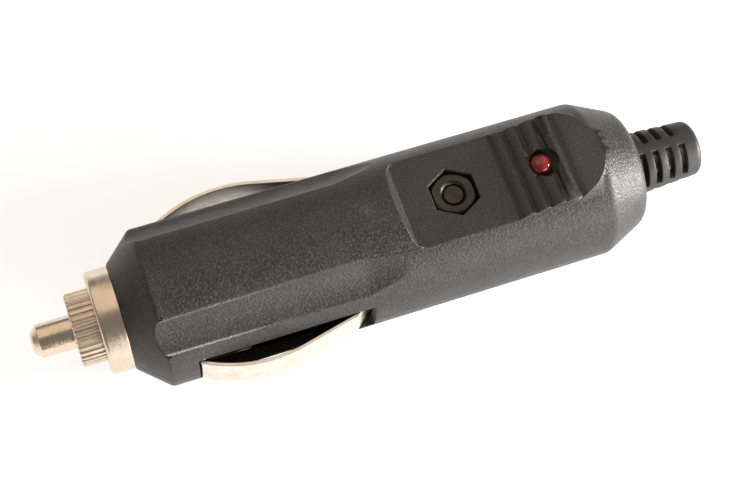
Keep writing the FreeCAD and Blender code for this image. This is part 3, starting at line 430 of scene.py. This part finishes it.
def clear_glass(name):
    """Clear tube glass with faint drawing lines."""
    finish, tree, shader = blank_finish(name)
    lines = speckle(tree, own_place(tree), 1.2, 2.0, 0.5, (0.05, 1, 1))
    shader.inputs["Base Color"].default_value = (0.93, 0.97, 0.95, 1)
    shader.inputs["Transmission Weight"].default_value = 1.0
    shader.inputs["IOR"].default_value = 1.5
    feed(tree, shader.inputs["Roughness"], ranged(tree, lines, 0.3, 0.7, 0.0, 0.05))
    feed(tree, shader.inputs["Normal"], raised(tree, lines, 0.2, 0.01))
    return finish


def lamp_resin(name, colour):
    """Clear-coated red resin that glows a little where light goes through it."""
    finish, tree, shader = blank_finish(name)
    place = own_place(tree)
    cloud = speckle(tree, place, 0.9, 3.0)
    deep = opaque(colour, 0.45)
    feed(tree, shader.inputs["Base Color"],
         tinted(tree, ranged(tree, cloud, 0.35, 0.7, 0.0, 1.0), opaque(colour), deep))
    feed(tree, shader.inputs["Roughness"], ranged(tree, cloud, 0.3, 0.7, 0.08, 0.2))
    shader.inputs["Subsurface Weight"].default_value = 0.35
    shader.inputs["Subsurface Radius"].default_value = (1.0, 0.12, 0.08)
    shader.inputs["Subsurface Scale"].default_value = 0.0008
    shader.inputs["Coat Weight"].default_value = 0.6
    shader.inputs["Coat Roughness"].default_value = 0.05
    feed(tree, shader.inputs["Normal"], raised(tree, cloud, 0.2, 0.01))
    return finish


def soft_rubber(name, colour):
    """Soft moulded rubber: matt, a little dusty, with a fine grain and edges painted lighter as a
    painted highlight.
    """
    finish, tree, shader = blank_finish(name)
    place = own_place(tree)
    fine = speckle(tree, place, 0.14, 3.0, 0.7)
    cloudy = speckle(tree, place, 2.6, 4.0)
    edges = edge_light(tree, 0.12)
    base = opaque(colour)
    dust_and_edge_highlight = opaque(colour, 2.3, 0.015)
    # Random dust patches, and the edges painted lighter as a painted highlight.
    amount = counted(tree, "MAXIMUM", ranged(tree, cloudy, 0.45, 0.75, 0.0, 0.5),
                     counted(tree, "MULTIPLY", edges, 0.6))
    feed(tree, shader.inputs["Base Color"], tinted(tree, amount, base, dust_and_edge_highlight))
    feed(tree, shader.inputs["Roughness"], ranged(tree, fine, 0.3, 0.7, 0.42, 0.6))
    feed(tree, shader.inputs["Normal"], raised(tree, fine, 0.8, 0.02))
    return finish


def banded_coat(name, colour, bands, middle, reach):
    """A resistor's lacquer with colour bands across it, placed along X in millimetres."""
    finish, tree, shader = blank_finish(name)
    place = own_place(tree)
    along = add(tree, "ShaderNodeSeparateXYZ", {0: place}).outputs[0]
    wobble = counted(tree, "ADD", along,
                     ranged(tree, speckle(tree, place, 0.5), 0.3, 0.7, -0.00003, 0.00003))
    mottled = tinted(tree, ranged(tree, speckle(tree, place, 0.7, 4.0), 0.35, 0.7, 0.0, 1.0),
                     opaque(colour), opaque(colour, 0.82))
    for share, band in bands:
        off = counted(tree, "ABSOLUTE", counted(tree, "SUBTRACT", wobble,
                                                (middle + share * reach) * MM), 0.0)
        mottled = tinted(tree, ranged(tree, off, 0.00025, 0.0003, 1.0, 0.0), mottled,
                         opaque(band))
    feed(tree, shader.inputs["Base Color"], mottled)
    feed(tree, shader.inputs["Roughness"],
         ranged(tree, speckle(tree, place, 0.3), 0.3, 0.7, 0.3, 0.45))
    feed(tree, shader.inputs["Normal"], raised(tree, speckle(tree, place, 0.4), 0.3, 0.01))
    return finish


# Sizes and colours that a user would change.


class PlugShapes(bpy.types.PropertyGroup):
    edge_round: bpy.props.FloatProperty(
        name="Edge round", description="Widest rounding on the moulded case, in millimetres",
        default=0.15, min=0.05, max=0.3)
    sheet_round: bpy.props.FloatProperty(
        name="Sheet edge", description="Width of the rounding on sheet metal, in millimetres",
        default=0.09, min=0.02, max=0.2)
    flute_count: bpy.props.IntProperty(
        name="Flutes", description="Flutes round the knurled head of the nose cap",
        default=36, min=12, max=72)
    flute_depth: bpy.props.FloatProperty(
        name="Flute depth", description="Depth of a flute, in millimetres",
        default=0.2, min=0.05, max=0.5)
    cap_pitch: bpy.props.FloatProperty(
        name="Cap thread pitch", description="Pitch of the nose cap's thread, in millimetres",
        default=0.75, min=0.3, max=1.5)
    screw_pitch: bpy.props.FloatProperty(
        name="Screw thread pitch", description="Pitch of the case screw, in millimetres",
        default=0.5, min=0.2, max=1.0)
    spring_coils: bpy.props.FloatProperty(
        name="Spring coils", description="Turns of the contact spring, closed ends included",
        default=6.5, min=3.0, max=12.0)


class PlugColours(bpy.types.PropertyGroup):
    case: bpy.props.FloatVectorProperty(
        name="Case", description="Colour of the moulded case", subtype="COLOR", size=3,
        default=(0.026, 0.0235, 0.021), min=0.0, max=1.0)
    panel: bpy.props.FloatVectorProperty(
        name="Panel and pad", description="Colour of the smoother panel and thumb pad",
        subtype="COLOR", size=3, default=(0.023, 0.0205, 0.0185), min=0.0, max=1.0)
    nickel: bpy.props.FloatVectorProperty(
        name="Nose plating", description="Colour of the plated nose pieces", subtype="COLOR",
        size=3, default=(0.80, 0.68, 0.545), min=0.0, max=1.0)
    strip: bpy.props.FloatVectorProperty(
        name="Side contacts", description="Colour of the side contact strips", subtype="COLOR",
        size=3, default=(0.90, 0.845, 0.76), min=0.0, max=1.0)
    zinc: bpy.props.FloatVectorProperty(
        name="Screw and nut", description="Colour of the case screw and nut", subtype="COLOR",
        size=3, default=(0.075, 0.069, 0.062), min=0.0, max=1.0)
    lens: bpy.props.FloatVectorProperty(
        name="Lamp", description="Colour of the lamp's resin", subtype="COLOR", size=3,
        default=(0.33, 0.022, 0.020), min=0.0, max=1.0)
    sleeve: bpy.props.FloatVectorProperty(
        name="Cable sleeve", description="Colour of the cable sleeve", subtype="COLOR", size=3,
        default=(0.03, 0.0285, 0.0265), min=0.0, max=1.0)


class PlugStage(bpy.types.PropertyGroup):
    floor: bpy.props.FloatVectorProperty(
        name="Floor", description="Colour of the floor", subtype="COLOR", size=3,
        default=(0.80, 0.80, 0.80), min=0.0, max=1.0)
    glow: bpy.props.FloatProperty(
        name="Floor glow", description="Light added to the floor where it is looked at",
        default=0.6, min=0.0, max=1.0)
    surround: bpy.props.FloatProperty(
        name="Surround", description="Strength of the even light from all round",
        default=0.2, min=0.0, max=2.0)
    camera_place: bpy.props.FloatVectorProperty(
        name="Camera", description="Place of the camera", subtype="TRANSLATION", size=3,
        unit="LENGTH", default=(0.001651, -0.079492, 0.194710))
    camera_turn: bpy.props.FloatVectorProperty(
        name="Camera turn", description="Turn of the camera", subtype="EULER", size=3,
        default=(math.radians(24.20273809), math.radians(-2.81434687),
                 math.radians(-19.24434236)))
    camera_lens: bpy.props.FloatProperty(
        name="Lens", description="Focal length on a 36 mm frame, in millimetres",
        default=79.82032734, min=20.0, max=300.0)


def shapes():
    return bpy.context.scene.plug_shapes


def colours():
    return bpy.context.scene.plug_colours


def stage():
    return bpy.context.scene.plug_stage


# Pieces, one operator for each or for each group of like ones.


class PLUG_OT_case_halves(bpy.types.Operator):
    """Both moulded halves of the case, with rounded edges and a smoother panel and pad"""

    bl_idname = "plug.case_halves"
    bl_label = "Case halves"

    def execute(self, context):
        scuff = ((39.3, 0.2, 10.5), 1.1, 1.0)
        nick = ((21.0, -4.6, 9.3), 0.8, 0.5)
        grained = moulded_plastic("case_plastic", colours().case, 0.3, 0.09, 0.44, 0.6,
                                  (scuff, nick))
        smooth = moulded_plastic("case_plastic_smooth", colours().panel, 0.24, 0.05, 0.46, 0.6)
        for node in ("upper_case", "lower_case"):
            piece = rounded_copy(node, f"{node}_moulding", shapes().edge_round, share=case_edge)
            fit(piece, "housing", "case_plastic", grained, node)
            piece.data.materials.append(smooth)
            if node == "upper_case":
                count = len(piece.data.polygons)
                middle, facing = np.zeros(count * 3), np.zeros(count * 3)
                piece.data.polygons.foreach_get("center", middle)
                piece.data.polygons.foreach_get("normal", facing)
                middle, facing = middle.reshape(-1, 3) / MM, facing.reshape(-1, 3)
                panel_front, panel_half, panel_low, upward = 43.2, 6.5, 7.5, 0.55
                pad_end, pad_round = 65.4, 6.27
                inside = ((middle[:, 0] > panel_front) & (np.abs(middle[:, 1]) < panel_half)
                          & (facing[:, 2] > upward) & (middle[:, 2] > panel_low)
                          & (np.hypot(np.maximum(middle[:, 0] - pad_end, 0), middle[:, 1])
                             < pad_round))
                piece.data.polygons.foreach_set("material_index", inside.astype(np.int32))
        return {"FINISHED"}


class PLUG_OT_nose_collar(bpy.types.Operator):
    """The plated ring in front of the case, with its neck, flange and threaded bore"""

    bl_idname = "plug.nose_collar"
    bl_label = "Nose collar"

    def execute(self, context):
        low, high = span("nose_collar")
        ring, neck, flange, bore, mouth = 6.8, 5.4, 6.4, 4.15, 5.0
        ring_rear, flange_front, mouth_floor = 6.35, 8.35, 4.05
        profile = outline([
            (low[0], mouth, 0.2), (low[0], ring, 0.5), (ring_rear, ring, 0.12),
            (ring_rear, neck, 0.1), (flange_front, neck, 0.08), (flange_front, flange, 0.12),
            (high[0], flange, 0.12), (high[0], bore, 0.2), (mouth_floor, bore, 0.15),
            (mouth_floor, mouth, 0.1)])
        piece = lathed("nose_collar_ring", profile, 160)
        metal = plated_metal("nickel_plate_ring", colours().nickel, 0.24, (1, 0.06, 0.06),
                             (0.86, 0.8, 0.72))
        fit(piece, "housing", "nickel_plate", metal, "nose_collar")
        return {"FINISHED"}


class PLUG_OT_nose_cap(bpy.types.Operator):
    """The knurled screw cap in front of the fuse, with straight flutes and a thread"""

    bl_idname = "plug.nose_cap"
    bl_label = "Nose cap"

    def execute(self, context):
        low, high = span("nose_cap")
        head_end, head, skirt, bore, pin_hole = 4.0, 4.8, 4.1, 3.4, 2.28
        pitch, count, steps = shapes().cap_pitch, shapes().flute_count, 432
        outer = outline([(low[0], pin_hole, 0.12), (low[0], head, 0.4),
                         (head_end, head, 0.15), (head_end, skirt, 0.05)], closed=False, steps=6)
        threaded = np.stack([np.linspace(head_end + 0.02, high[0] - 0.3, 84),
                             np.full(84, skirt)], 1)
        inner = outline([(high[0] - 0.28, skirt), (high[0], skirt - 0.3, 0.05),
                         (high[0], bore, 0.1), (1.6, bore, 0.1), (1.6, pin_hole, 0.1),
                         (low[0] + 0.2, pin_hole)], closed=False)
        profile = np.concatenate([outer, threaded, inner])
        along, radius = profile[:, :1], profile[:, 1:]
        angle = circle(steps)[None, :]
        off = np.abs((angle * count / (2 * math.pi) + 0.5) % 1 - 0.5) * 2 * math.pi * head / count
        depth = shapes().flute_depth
        half = 0.85 * depth
        flute = depth * np.sqrt(np.clip(1 - (off / half) ** 2, 0, 1))
        flute = np.where(off < half, flute, 0.02 * (off - half) / half)
        cut = smooth_step(radius, head - 0.75, head - 0.2) * (along < head_end + 0.01)
        wave = thread_wave(along, angle, pitch)
        ridge = (smooth_step(along, head_end + 0.1, head_end + 0.6)
                 * smooth_step(-along, 0.3 - high[0], 0.9 - high[0])
                 * (np.abs(radius - skirt) < 0.01))
        radius = radius - cut * flute - 0.38 * ridge * smooth_step(wave, 0.15, 0.85)
        piece = closed_piece("nose_cap_knurled", turned(along, radius, steps))
        metal = plated_metal("nickel_plate_knurl", colours().nickel, 0.27, (0.06, 1, 1),
                             (0.8, 0.72, 0.62), 0.5)
        fit(piece, "nose_cap", "nickel_plate", metal, "nose_cap")
        return {"FINISHED"}


class PLUG_OT_centre_contact(bpy.types.Operator):
    """The sprung centre contact: a pin with a coned and rounded tip, and its flange"""

    bl_idname = "plug.centre_contact"
    bl_label = "Centre contact"

    def execute(self, context):
        low, high = span("centre_contact")
        tip, cone, pin, flange, flange_front = 1.25, 1.05, 2.2, 3.2, 1.68
        profile = outline([
            (low[0], 0), (low[0], tip, 0.9), (low[0] + cone, pin, 0.12),
            (flange_front, pin, 0.08), (flange_front, flange, 0.1), (high[0], flange, 0.1),
            (high[0], 0)], closed=False, steps=8)
        piece = lathed("centre_contact_pin", profile, 96, loop=False)
        metal = plated_metal("nickel_plate_pin", colours().nickel, 0.2, (1, 0.06, 0.06),
                             (0.84, 0.77, 0.68))
        fit(piece, "fuse_group", "nickel_plate", metal, "centre_contact")
        return {"FINISHED"}


class PLUG_OT_fuse(bpy.types.Operator):
    """The glass fuse behind the centre contact: end caps, tube and wire"""

    bl_idname = "plug.fuse"
    bl_label = "Fuse"

    def execute(self, context):
        metal = plated_metal("nickel_plate_fuse", (0.74, 0.72, 0.68), 0.22, (1, 0.1, 0.1),
                             (0.9, 0.88, 0.84))
        cap, cap_bore, cap_floor = 3.15, 2.9, 0.4
        glass, glass_bore = 2.85, 2.2
        for node, inward in (("fuse_end_cap_front", 1), ("fuse_end_cap_rear", -1)):
            low, high = span(node)
            end, mouth = (low[0], high[0]) if inward > 0 else (high[0], low[0])
            floor = end + cap_floor * inward
            profile = outline([(end, 0), (end, cap, 0.4), (mouth, cap, 0.06),
                               (mouth, cap_bore, 0.06), (floor, cap_bore, 0.1), (floor, 0)],
                              closed=False)
            piece = lathed(f"{node}_cup", profile, 80, loop=False)
            fit(piece, "fuse_group", "nickel_plate", metal, node)
        low, high = span("fuse_glass_tube")
        profile = outline([(low[0], glass_bore, 0.2), (low[0], glass, 0.2),
                           (high[0], glass, 0.2), (high[0], glass_bore, 0.2)])
        piece = lathed("fuse_glass", profile, 80)
        fit(piece, "fuse_group", "fuse_glass", clear_glass("fuse_glass"), "fuse_glass_tube")
        low, high = span("fuse_wire")
        share = np.linspace(0, 1, 60)
        path = np.stack([low[0] + share * (high[0] - low[0]), 0.0 * share,
                         -0.04 * np.sin(math.pi * share)], 1)
        piece = closed_piece("fuse_wire_strand", tube(path, 0.11, 12), loop=False)
        tin = plated_metal("tinned_copper_fuse", TIN, 0.3, (0.1, 1, 1), DULL_TIN)
        fit(piece, "fuse_group", "tinned_copper", tin, "fuse_wire")
        return {"FINISHED"}


class PLUG_OT_contact_spring(bpy.types.Operator):
    """The coil spring behind the fuse, with closed coils at both ends"""

    bl_idname = "plug.contact_spring"
    bl_label = "Contact spring"

    def execute(self, context):
        front, rear, wire, radius = 32.68, 40.08, 0.3, 2.4
        turns = shapes().spring_coils
        share = np.linspace(0, 1, int(turns * 48))
        coil = share * turns
        at_front = smooth_step(coil, 0.5, 1.7)
        at_rear = smooth_step(coil, turns - 1.7, turns - 0.5)
        rate = 0.62 + (1 - np.abs(at_front + at_rear - 1)) * 1.6
        travel = np.concatenate([[0], np.cumsum((rate[1:] + rate[:-1]) / 2)])
        x = front + wire + travel / travel[-1] * (rear - front - 2 * wire)
        angle = 2 * math.pi * coil
        path = np.stack([x, radius * np.sin(angle), radius * np.cos(angle)], 1)
        piece = closed_piece("contact_spring_coil", tube(path, wire, 14), loop=False)
        steel = plated_metal("spring_steel", (0.5, 0.49, 0.47), 0.3, (1, 1, 1), (0.8, 0.78, 0.75))
        fit(piece, "cap_feed", "spring_steel", steel, "contact_spring")
        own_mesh(piece)
        return {"FINISHED"}


class PLUG_OT_side_contacts(bpy.types.Operator):
    """The two bowed strips in the side slots"""

    bl_idname = "plug.side_contacts"
    bl_label = "Side contacts"

    def execute(self, context):
        sheet, half, foot = 0.5, 2.75, 8.3
        low, high = span("side_contact_left")
        centre, radius = np.array([23.25, -6.1]), 18.8
        dive = np.array([34.9, 10.45])
        to_dive = dive - centre
        reach = np.linalg.norm(to_dive)
        touch_at = math.atan2(to_dive[1], to_dive[0]) + math.acos(radius / reach)
        leg = 14.05
        top_at = math.pi - math.acos((centre[0] - leg) / radius)
        sweep = np.linspace(top_at, touch_at, 40)[1:]
        bow = centre + radius * np.stack([np.cos(sweep), np.sin(sweep)], 1)
        front = outline([(low[0], foot), (leg, foot, 0.35),
                         (leg, centre[1] + radius * math.sin(top_at), 0.25), bow[2]],
                        closed=False, steps=6)
        rear = outline([bow[-1], dive, (37.3, foot, 0.9), (high[0], foot)], closed=False, steps=6)
        path = without_repeats(np.concatenate([front, bow[3:], rear[1:]]))
        ahead = np.gradient(path, axis=0)
        ahead /= np.linalg.norm(ahead, axis=1, keepdims=True)
        inward = np.stack([ahead[:, 1], -ahead[:, 0]], 1)
        edge = shapes().sheet_round
        section = outline([(0, -half, edge), (sheet, -half, edge), (sheet, half, edge),
                           (0, half, edge)], steps=3)
        flat = path[:, None, :] + inward[:, None, :] * section[None, :, :1]
        grid = np.concatenate([flat, np.broadcast_to(section[None, :, 1:],
                                                     flat.shape[:2] + (1,))], axis=2)
        first, last = grid[:1].mean(axis=1, keepdims=True), grid[-1:].mean(axis=1, keepdims=True)
        grid = np.concatenate([np.broadcast_to(first, grid[:1].shape), grid,
                               np.broadcast_to(last, grid[-1:].shape)])
        metal = plated_metal("contact_steel", colours().strip, 0.3, (0.05, 0.05, 1),
                             (0.88, 0.8, 0.68))
        for side, sign in (("left", 1), ("right", -1)):
            piece = closed_piece(f"side_contact_{side}_strip", grid * np.array([1, sign, 1]),
                                 loop=False)
            fit(piece, f"{side}_contact", "contact_steel", metal, f"side_contact_{side}")
        return {"FINISHED"}


class PLUG_OT_sheet_parts(bpy.types.Operator):
    """The earth bridge between the side contacts and the positive terminal"""

    bl_idname = "plug.sheet_parts"
    bl_label = "Bridge and terminal"

    def execute(self, context):
        # The brass is kept near-black all over as painted shade inside the case, with three paler
        # painted glints.
        glint_colour = (0.82, 0.77, 0.68)
        brass = plated_metal("brass_sheet", (0.15, 0.125, 0.09), 0.34, (0.08, 1, 1),
                             (0.7, 0.66, 0.6), 0.4,
                             (((20.6, -7.0, -3.2), 2.0, glint_colour), ((20.6, 7.0, -3.2), 2.0, glint_colour),
                              ((43.5, 0.0, 0.0), 2.4, glint_colour)))
        for node in ("earth_bridge", "positive_terminal"):
            piece = rounded_copy(node, f"{node}_sheet", shapes().sheet_round)
            fit(piece, "housing", "brass_sheet", brass, node)
        return {"FINISHED"}


class PLUG_OT_screw_and_nut(bpy.types.Operator):
    """The case screw with its thread and cross recess, and the nut on its end"""

    bl_idname = "plug.screw_and_nut"
    bl_label = "Screw and nut"

    def execute(self, context):
        low, high = span("case_screw")
        at, shank, head = (low[0] + high[0]) / 2, 1.45, 2.8
        pitch, steps = shapes().screw_pitch, 72
        face, seat, end = low[2], low[2] + 2.1, high[2]
        disc = np.concatenate([np.zeros(1), np.linspace(0.1, 2.3, 30), [2.5, 2.65, 2.76, head]])
        lift = np.concatenate([np.zeros(31), [0.02, 0.06, 0.16, 0.35]])
        top = np.stack([face + lift, disc], 1)
        under = outline([(face + 0.4, head), (seat, head, 0.1), (seat, shank, 0.1),
                         (seat + 0.3, shank)], closed=False)
        rows = np.arange(seat + 0.35, end - 0.35, pitch / 9)
        threaded = np.stack([rows, np.full(len(rows), shank)], 1)
        tip = outline([(end - 0.22, shank), (end, shank - 0.2, 0.08), (end, 0.4), (end, 0)],
                      closed=False)
        profile = np.concatenate([top, under, threaded, tip])
        along, radius = profile[:, :1], profile[:, 1:]
        angle = circle(steps)[None, :]
        across, up = radius * np.sin(angle), radius * np.cos(angle)
        slot = np.minimum(np.abs(across), np.abs(up))
        length = np.maximum(np.abs(across), np.abs(up))
        sunk = (smooth_step(-slot, -0.42, -0.28) * smooth_step(-length, -1.8, -1.5)
                * (along < face + 0.1))
        wave = thread_wave(along, angle, pitch)
        ridge = (smooth_step(along, seat + 0.6, seat + 1.2)
                 * smooth_step(-along, 0.3 - end, 0.6 - end) * (np.abs(radius - shank) < 0.01))
        radius = radius - 0.26 * ridge * smooth_step(wave, 0.1, 0.9)
        along = along + sunk * (1.2 - 0.25 * length)
        piece = closed_piece("case_screw_threaded",
                             turned(along, radius, steps, upright_at=at), loop=False)
        dull = plated_metal("zinc_steel_screw", colours().zinc, 0.42, (1, 1, 0.1),
                            (0.62, 0.58, 0.52), 0.6)
        fit(piece, "housing", "zinc_steel", dull, "case_screw")
        nut_low, nut_high = span("case_nut")
        bottom, top_face = nut_low[2], nut_high[2]
        flats, corners, bore, sink_mouth = 2.75, 3.12, 1.5, 1.86
        steps = 180
        angle = circle(steps)[None, :]
        hexagon = flats / np.cos((angle + math.pi / 6) % (math.pi / 3) - math.pi / 6)
        drop = (hexagon - 2.68) * 0.5
        share = np.linspace(0, 1, 7)[:, None]
        outer_z = bottom + drop + share * (top_face - bottom - 2 * drop)
        outer_r = np.repeat(np.minimum(hexagon, corners), 7, axis=0)
        face_r = np.linspace(2.62, 1.9, 5)
        top_z = np.full((5, steps), top_face)
        top_r = np.repeat(face_r[:, None], steps, axis=1)
        sink = outline([(top_face, sink_mouth, 0.05), (top_face - 0.4, bore, 0.03),
                        (top_face - 0.45, bore)], closed=False)
        thread_z = np.arange(top_face - 0.5, bottom + 0.45, -pitch / 8)
        foot = outline([(bottom + 0.4, bore), (bottom, sink_mouth, 0.05), (bottom, 1.95)],
                       closed=False)
        bore_z = np.concatenate([sink[:, 0], thread_z, foot[:, 0]])
        bore_r = np.concatenate([sink[:, 1], np.full(len(thread_z), bore), foot[:, 1]])
        under_r = np.repeat(np.linspace(2.0, 2.62, 4)[:, None], steps, axis=1)
        under_z = np.full((4, steps), bottom)
        grid_z = np.concatenate([outer_z, top_z, np.repeat(bore_z[:, None], steps, 1), under_z])
        grid_r = np.concatenate([outer_r, top_r, np.repeat(bore_r[:, None], steps, 1), under_r])
        piece = closed_piece("case_nut_hex", turned(grid_z, grid_r, steps, upright_at=at))
        bright = plated_metal("zinc_steel_nut", colours().zinc, 0.36, (1, 1, 0.2),
                              (0.7, 0.64, 0.56), 0.5)
        fit(piece, "housing", "zinc_steel", bright, "case_nut")
        return {"FINISHED"}


class PLUG_OT_lamp(bpy.types.Operator):
    """The small red lamp: dome, body and rim, and its two legs"""

    bl_idname = "plug.lamp"
    bl_label = "Lamp"

    def execute(self, context):
        low, high = span("lamp_lens")
        at = (low[0] + high[0]) / 2
        dome, rim, rim_top = 1.5, 1.9, low[2] + 1.0
        turn = np.linspace(0, math.pi / 2, 24)
        cap = np.stack([high[2] - dome + dome * np.cos(turn), dome * np.sin(turn)], 1)
        base = outline([(high[2] - dome - 0.05, dome), (rim_top, dome, 0.1), (rim_top, rim, 0.15),
                        (low[2], rim, 0.1), (low[2], 0)], closed=False)
        profile = np.concatenate([cap, base])
        piece = lathed("lamp_lens_dome", profile, 64, loop=False, upright_at=at)
        fit(piece, "housing", "red_lens", lamp_resin("red_lens", colours().lens), "lamp_lens")
        tin = plated_metal("tinned_copper_leg", TIN, 0.32, (1, 1, 0.1), DULL_TIN)
        piece = rounded_copy("lamp_legs", "lamp_legs_pair", 0.05)
        fit(piece, "housing", "tinned_copper", tin, "lamp_legs")
        return {"FINISHED"}


class PLUG_OT_resistor_and_leads(bpy.types.Operator):
    """The lamp's resistor with its colour bands, and the stiff leads inside the case"""

    bl_idname = "plug.resistor_and_leads"
    bl_label = "Resistor and leads"

    def execute(self, context):
        low, high = span("resistor")
        middle, reach, full = (low + high) / 2, (high[0] - low[0]) / 2, (high[2] - low[2]) / 2
        profile = outline([
            (low[0], 0), (low[0], full * 0.92, 0.45), (low[0] + 1.6, full * 0.98, 0.5),
            (low[0] + 2.1, full * 0.86, 0.5), (high[0] - 2.1, full * 0.86, 0.5),
            (high[0] - 1.6, full * 0.98, 0.5), (high[0], full * 0.92, 0.45), (high[0], 0)],
            closed=False, steps=6)
        grid = turned(profile[:, 0], profile[:, 1], 64) + np.array([0, middle[1], middle[2]])
        piece = closed_piece("resistor_body", grid, loop=False)
        coat = banded_coat("resistor_coat", (0.62, 0.50, 0.33),
                           ((-0.72, (0.25, 0.02, 0.02)), (-0.3, (0.02, 0.02, 0.02)),
                            (0.02, (0.30, 0.12, 0.02)), (0.7, (0.50, 0.36, 0.10))),
                           middle[0], reach)
        fit(piece, "housing", "resistor_coat", coat, "resistor")
        tin = plated_metal("tinned_copper_lead", TIN, 0.32, (0.1, 1, 1), DULL_TIN)
        for node in ("resistor_lead_front", "resistor_lead_rear", "earth_lead"):
            piece = rounded_copy(node, f"{node}_wire", 0.04)
            fit(piece, "housing", "tinned_copper", tin, node)
        return {"FINISHED"}


class PLUG_OT_cable_sleeve(bpy.types.Operator):
    """The soft sleeve with rows of windows that the cable comes through"""

    bl_idname = "plug.cable_sleeve"
    bl_label = "Cable sleeve"

    def execute(self, context):
        piece = rounded_copy("cable_sleeve", "cable_sleeve_moulding", 0.1)
        fit(piece, "housing", "sleeve_rubber", soft_rubber("sleeve_rubber", colours().sleeve),
            "cable_sleeve")
        return {"FINISHED"}


def soft_box(name, place, aim, size, power, colour=(1.0, 1.0, 1.0)):
    """A rectangular lamp at a place, turned towards a point, all in metres."""
    light = bpy.data.lights.new(name, "AREA")
    light.shape = "RECTANGLE"
    light.size, light.size_y = size
    light.energy = power
    light.color = colour
    lamp = bpy.data.objects.new(name, light)
    bpy.context.scene.collection.objects.link(lamp)
    away = np.array(place, float) - np.array(aim, float)
    away /= np.linalg.norm(away)
    side = np.cross([0, 0, 1], away)
    side = side / np.linalg.norm(side) if np.linalg.norm(side) > 1e-6 else np.array([1.0, 0, 0])
    matrix = np.eye(4)
    matrix[:3, 0], matrix[:3, 1], matrix[:3, 2] = side, np.cross(away, side), away
    matrix[:3, 3] = place
    lamp.matrix_world = matrix.T.tolist()
    return lamp


class PLUG_OT_stage(bpy.types.Operator):
    """The pale floor, the soft lamps, the even surround and the camera"""

    bl_idname = "plug.stage"
    bl_label = "Stage"

    def execute(self, context):
        scene = context.scene
        scene.view_settings.view_transform = "Standard"
        low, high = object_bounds()
        width = 3.0
        corners = [(-width, -width, low[2]), (width, -width, low[2]), (width, width, low[2]),
                   (-width, width, low[2])]
        mesh = bpy.data.meshes.new("floor")
        mesh.from_pydata(corners, [], [(0, 1, 2, 3)])
        floor = shown("floor", mesh)
        finish, tree, shader = blank_finish("floor_paper")
        colour, faint = opaque(stage().floor), opaque(stage().floor, 0.985)
        paper = speckle(tree, own_place(tree), 90.0, 2.0)
        feed(tree, shader.inputs["Base Color"],
             tinted(tree, ranged(tree, paper, 0.3, 0.7, 0.0, 1.0), colour, faint))
        shader.inputs["Roughness"].default_value = 0.9
        shader.inputs["Specular IOR Level"].default_value = 0.1
        shader.inputs["Emission Color"].default_value = (1, 1, 1, 1)
        path = add(tree, "ShaderNodeLightPath")
        seen = counted(tree, "MAXIMUM", path.outputs["Is Camera Ray"],
                       counted(tree, "MAXIMUM", path.outputs["Is Glossy Ray"],
                               path.outputs["Is Transmission Ray"]))
        feed(tree, shader.inputs["Emission Strength"], counted(tree, "MULTIPLY", seen,
                                                               stage().glow))
        mesh.materials.append(finish)
        floor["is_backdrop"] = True
        world = bpy.data.worlds.new("surround")
        world.use_nodes = True
        world.node_tree.nodes["Background"].inputs["Color"].default_value = (1.0, 0.985, 0.96, 1)
        world.node_tree.nodes["Background"].inputs["Strength"].default_value = stage().surround
        scene.world = world
        middle = (0.038, 0, 0)
        soft_box("overhead", (0.04, 0.20, 0.34), middle, (0.8, 0.5), 0.9, (1.0, 0.80, 0.62))
        soft_box("cable_end", (0.486, -0.165, 0.086), (0.072, -0.006, 0.008), (0.15, 0.12), 4.6)
        soft_box("front", (0.21, -0.40, 0.065), middle, (0.30, 0.20), 1.1)
        lens = bpy.data.cameras.new("camera")
        lens.sensor_width = 36.0
        lens.lens = stage().camera_lens
        lens.clip_start, lens.clip_end = 0.01, 20.0
        camera = bpy.data.objects.new("camera", lens)
        scene.collection.objects.link(camera)
        camera.location = stage().camera_place
        camera.rotation_euler = stage().camera_turn
        scene.camera = camera
        return {"FINISHED"}


PIECES = (
    PLUG_OT_case_halves,
    PLUG_OT_nose_collar,
    PLUG_OT_nose_cap,
    PLUG_OT_centre_contact,
    PLUG_OT_fuse,
    PLUG_OT_contact_spring,
    PLUG_OT_side_contacts,
    PLUG_OT_sheet_parts,
    PLUG_OT_screw_and_nut,
    PLUG_OT_lamp,
    PLUG_OT_resistor_and_leads,
    PLUG_OT_cable_sleeve,
    PLUG_OT_stage,
)


class PLUG_PT_panel(bpy.types.Panel):
    """Lists the plug's sizes, colours and pieces"""

    bl_idname = "PLUG_PT_panel"
    bl_label = "Plug"
    bl_space_type = "VIEW_3D"
    bl_region_type = "UI"
    bl_category = "Plug"

    def draw(self, context):
        scene = context.scene
        for group in (scene.plug_shapes, scene.plug_colours, scene.plug_stage):
            box = self.layout.box()
            for name in group.__annotations__:
                box.prop(group, name)
        for piece in PIECES:
            self.layout.operator(piece.bl_idname)


CLASSES = (PlugShapes, PlugColours, PlugStage) + PIECES + (PLUG_PT_panel,)


def register():
    for kind in CLASSES:
        bpy.utils.register_class(kind)
    bpy.types.Scene.plug_shapes = bpy.props.PointerProperty(type=PlugShapes)
    bpy.types.Scene.plug_colours = bpy.props.PointerProperty(type=PlugColours)
    bpy.types.Scene.plug_stage = bpy.props.PointerProperty(type=PlugStage)


def unregister():
    del bpy.types.Scene.plug_stage
    del bpy.types.Scene.plug_colours
    del bpy.types.Scene.plug_shapes
    for kind in reversed(CLASSES):
        bpy.utils.unregister_class(kind)


def main():
    register()
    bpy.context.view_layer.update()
    for piece in PIECES:
        group, name = piece.bl_idname.split(".")
        getattr(getattr(bpy.ops, group), name)()


if __name__ == "__main__":
    main()
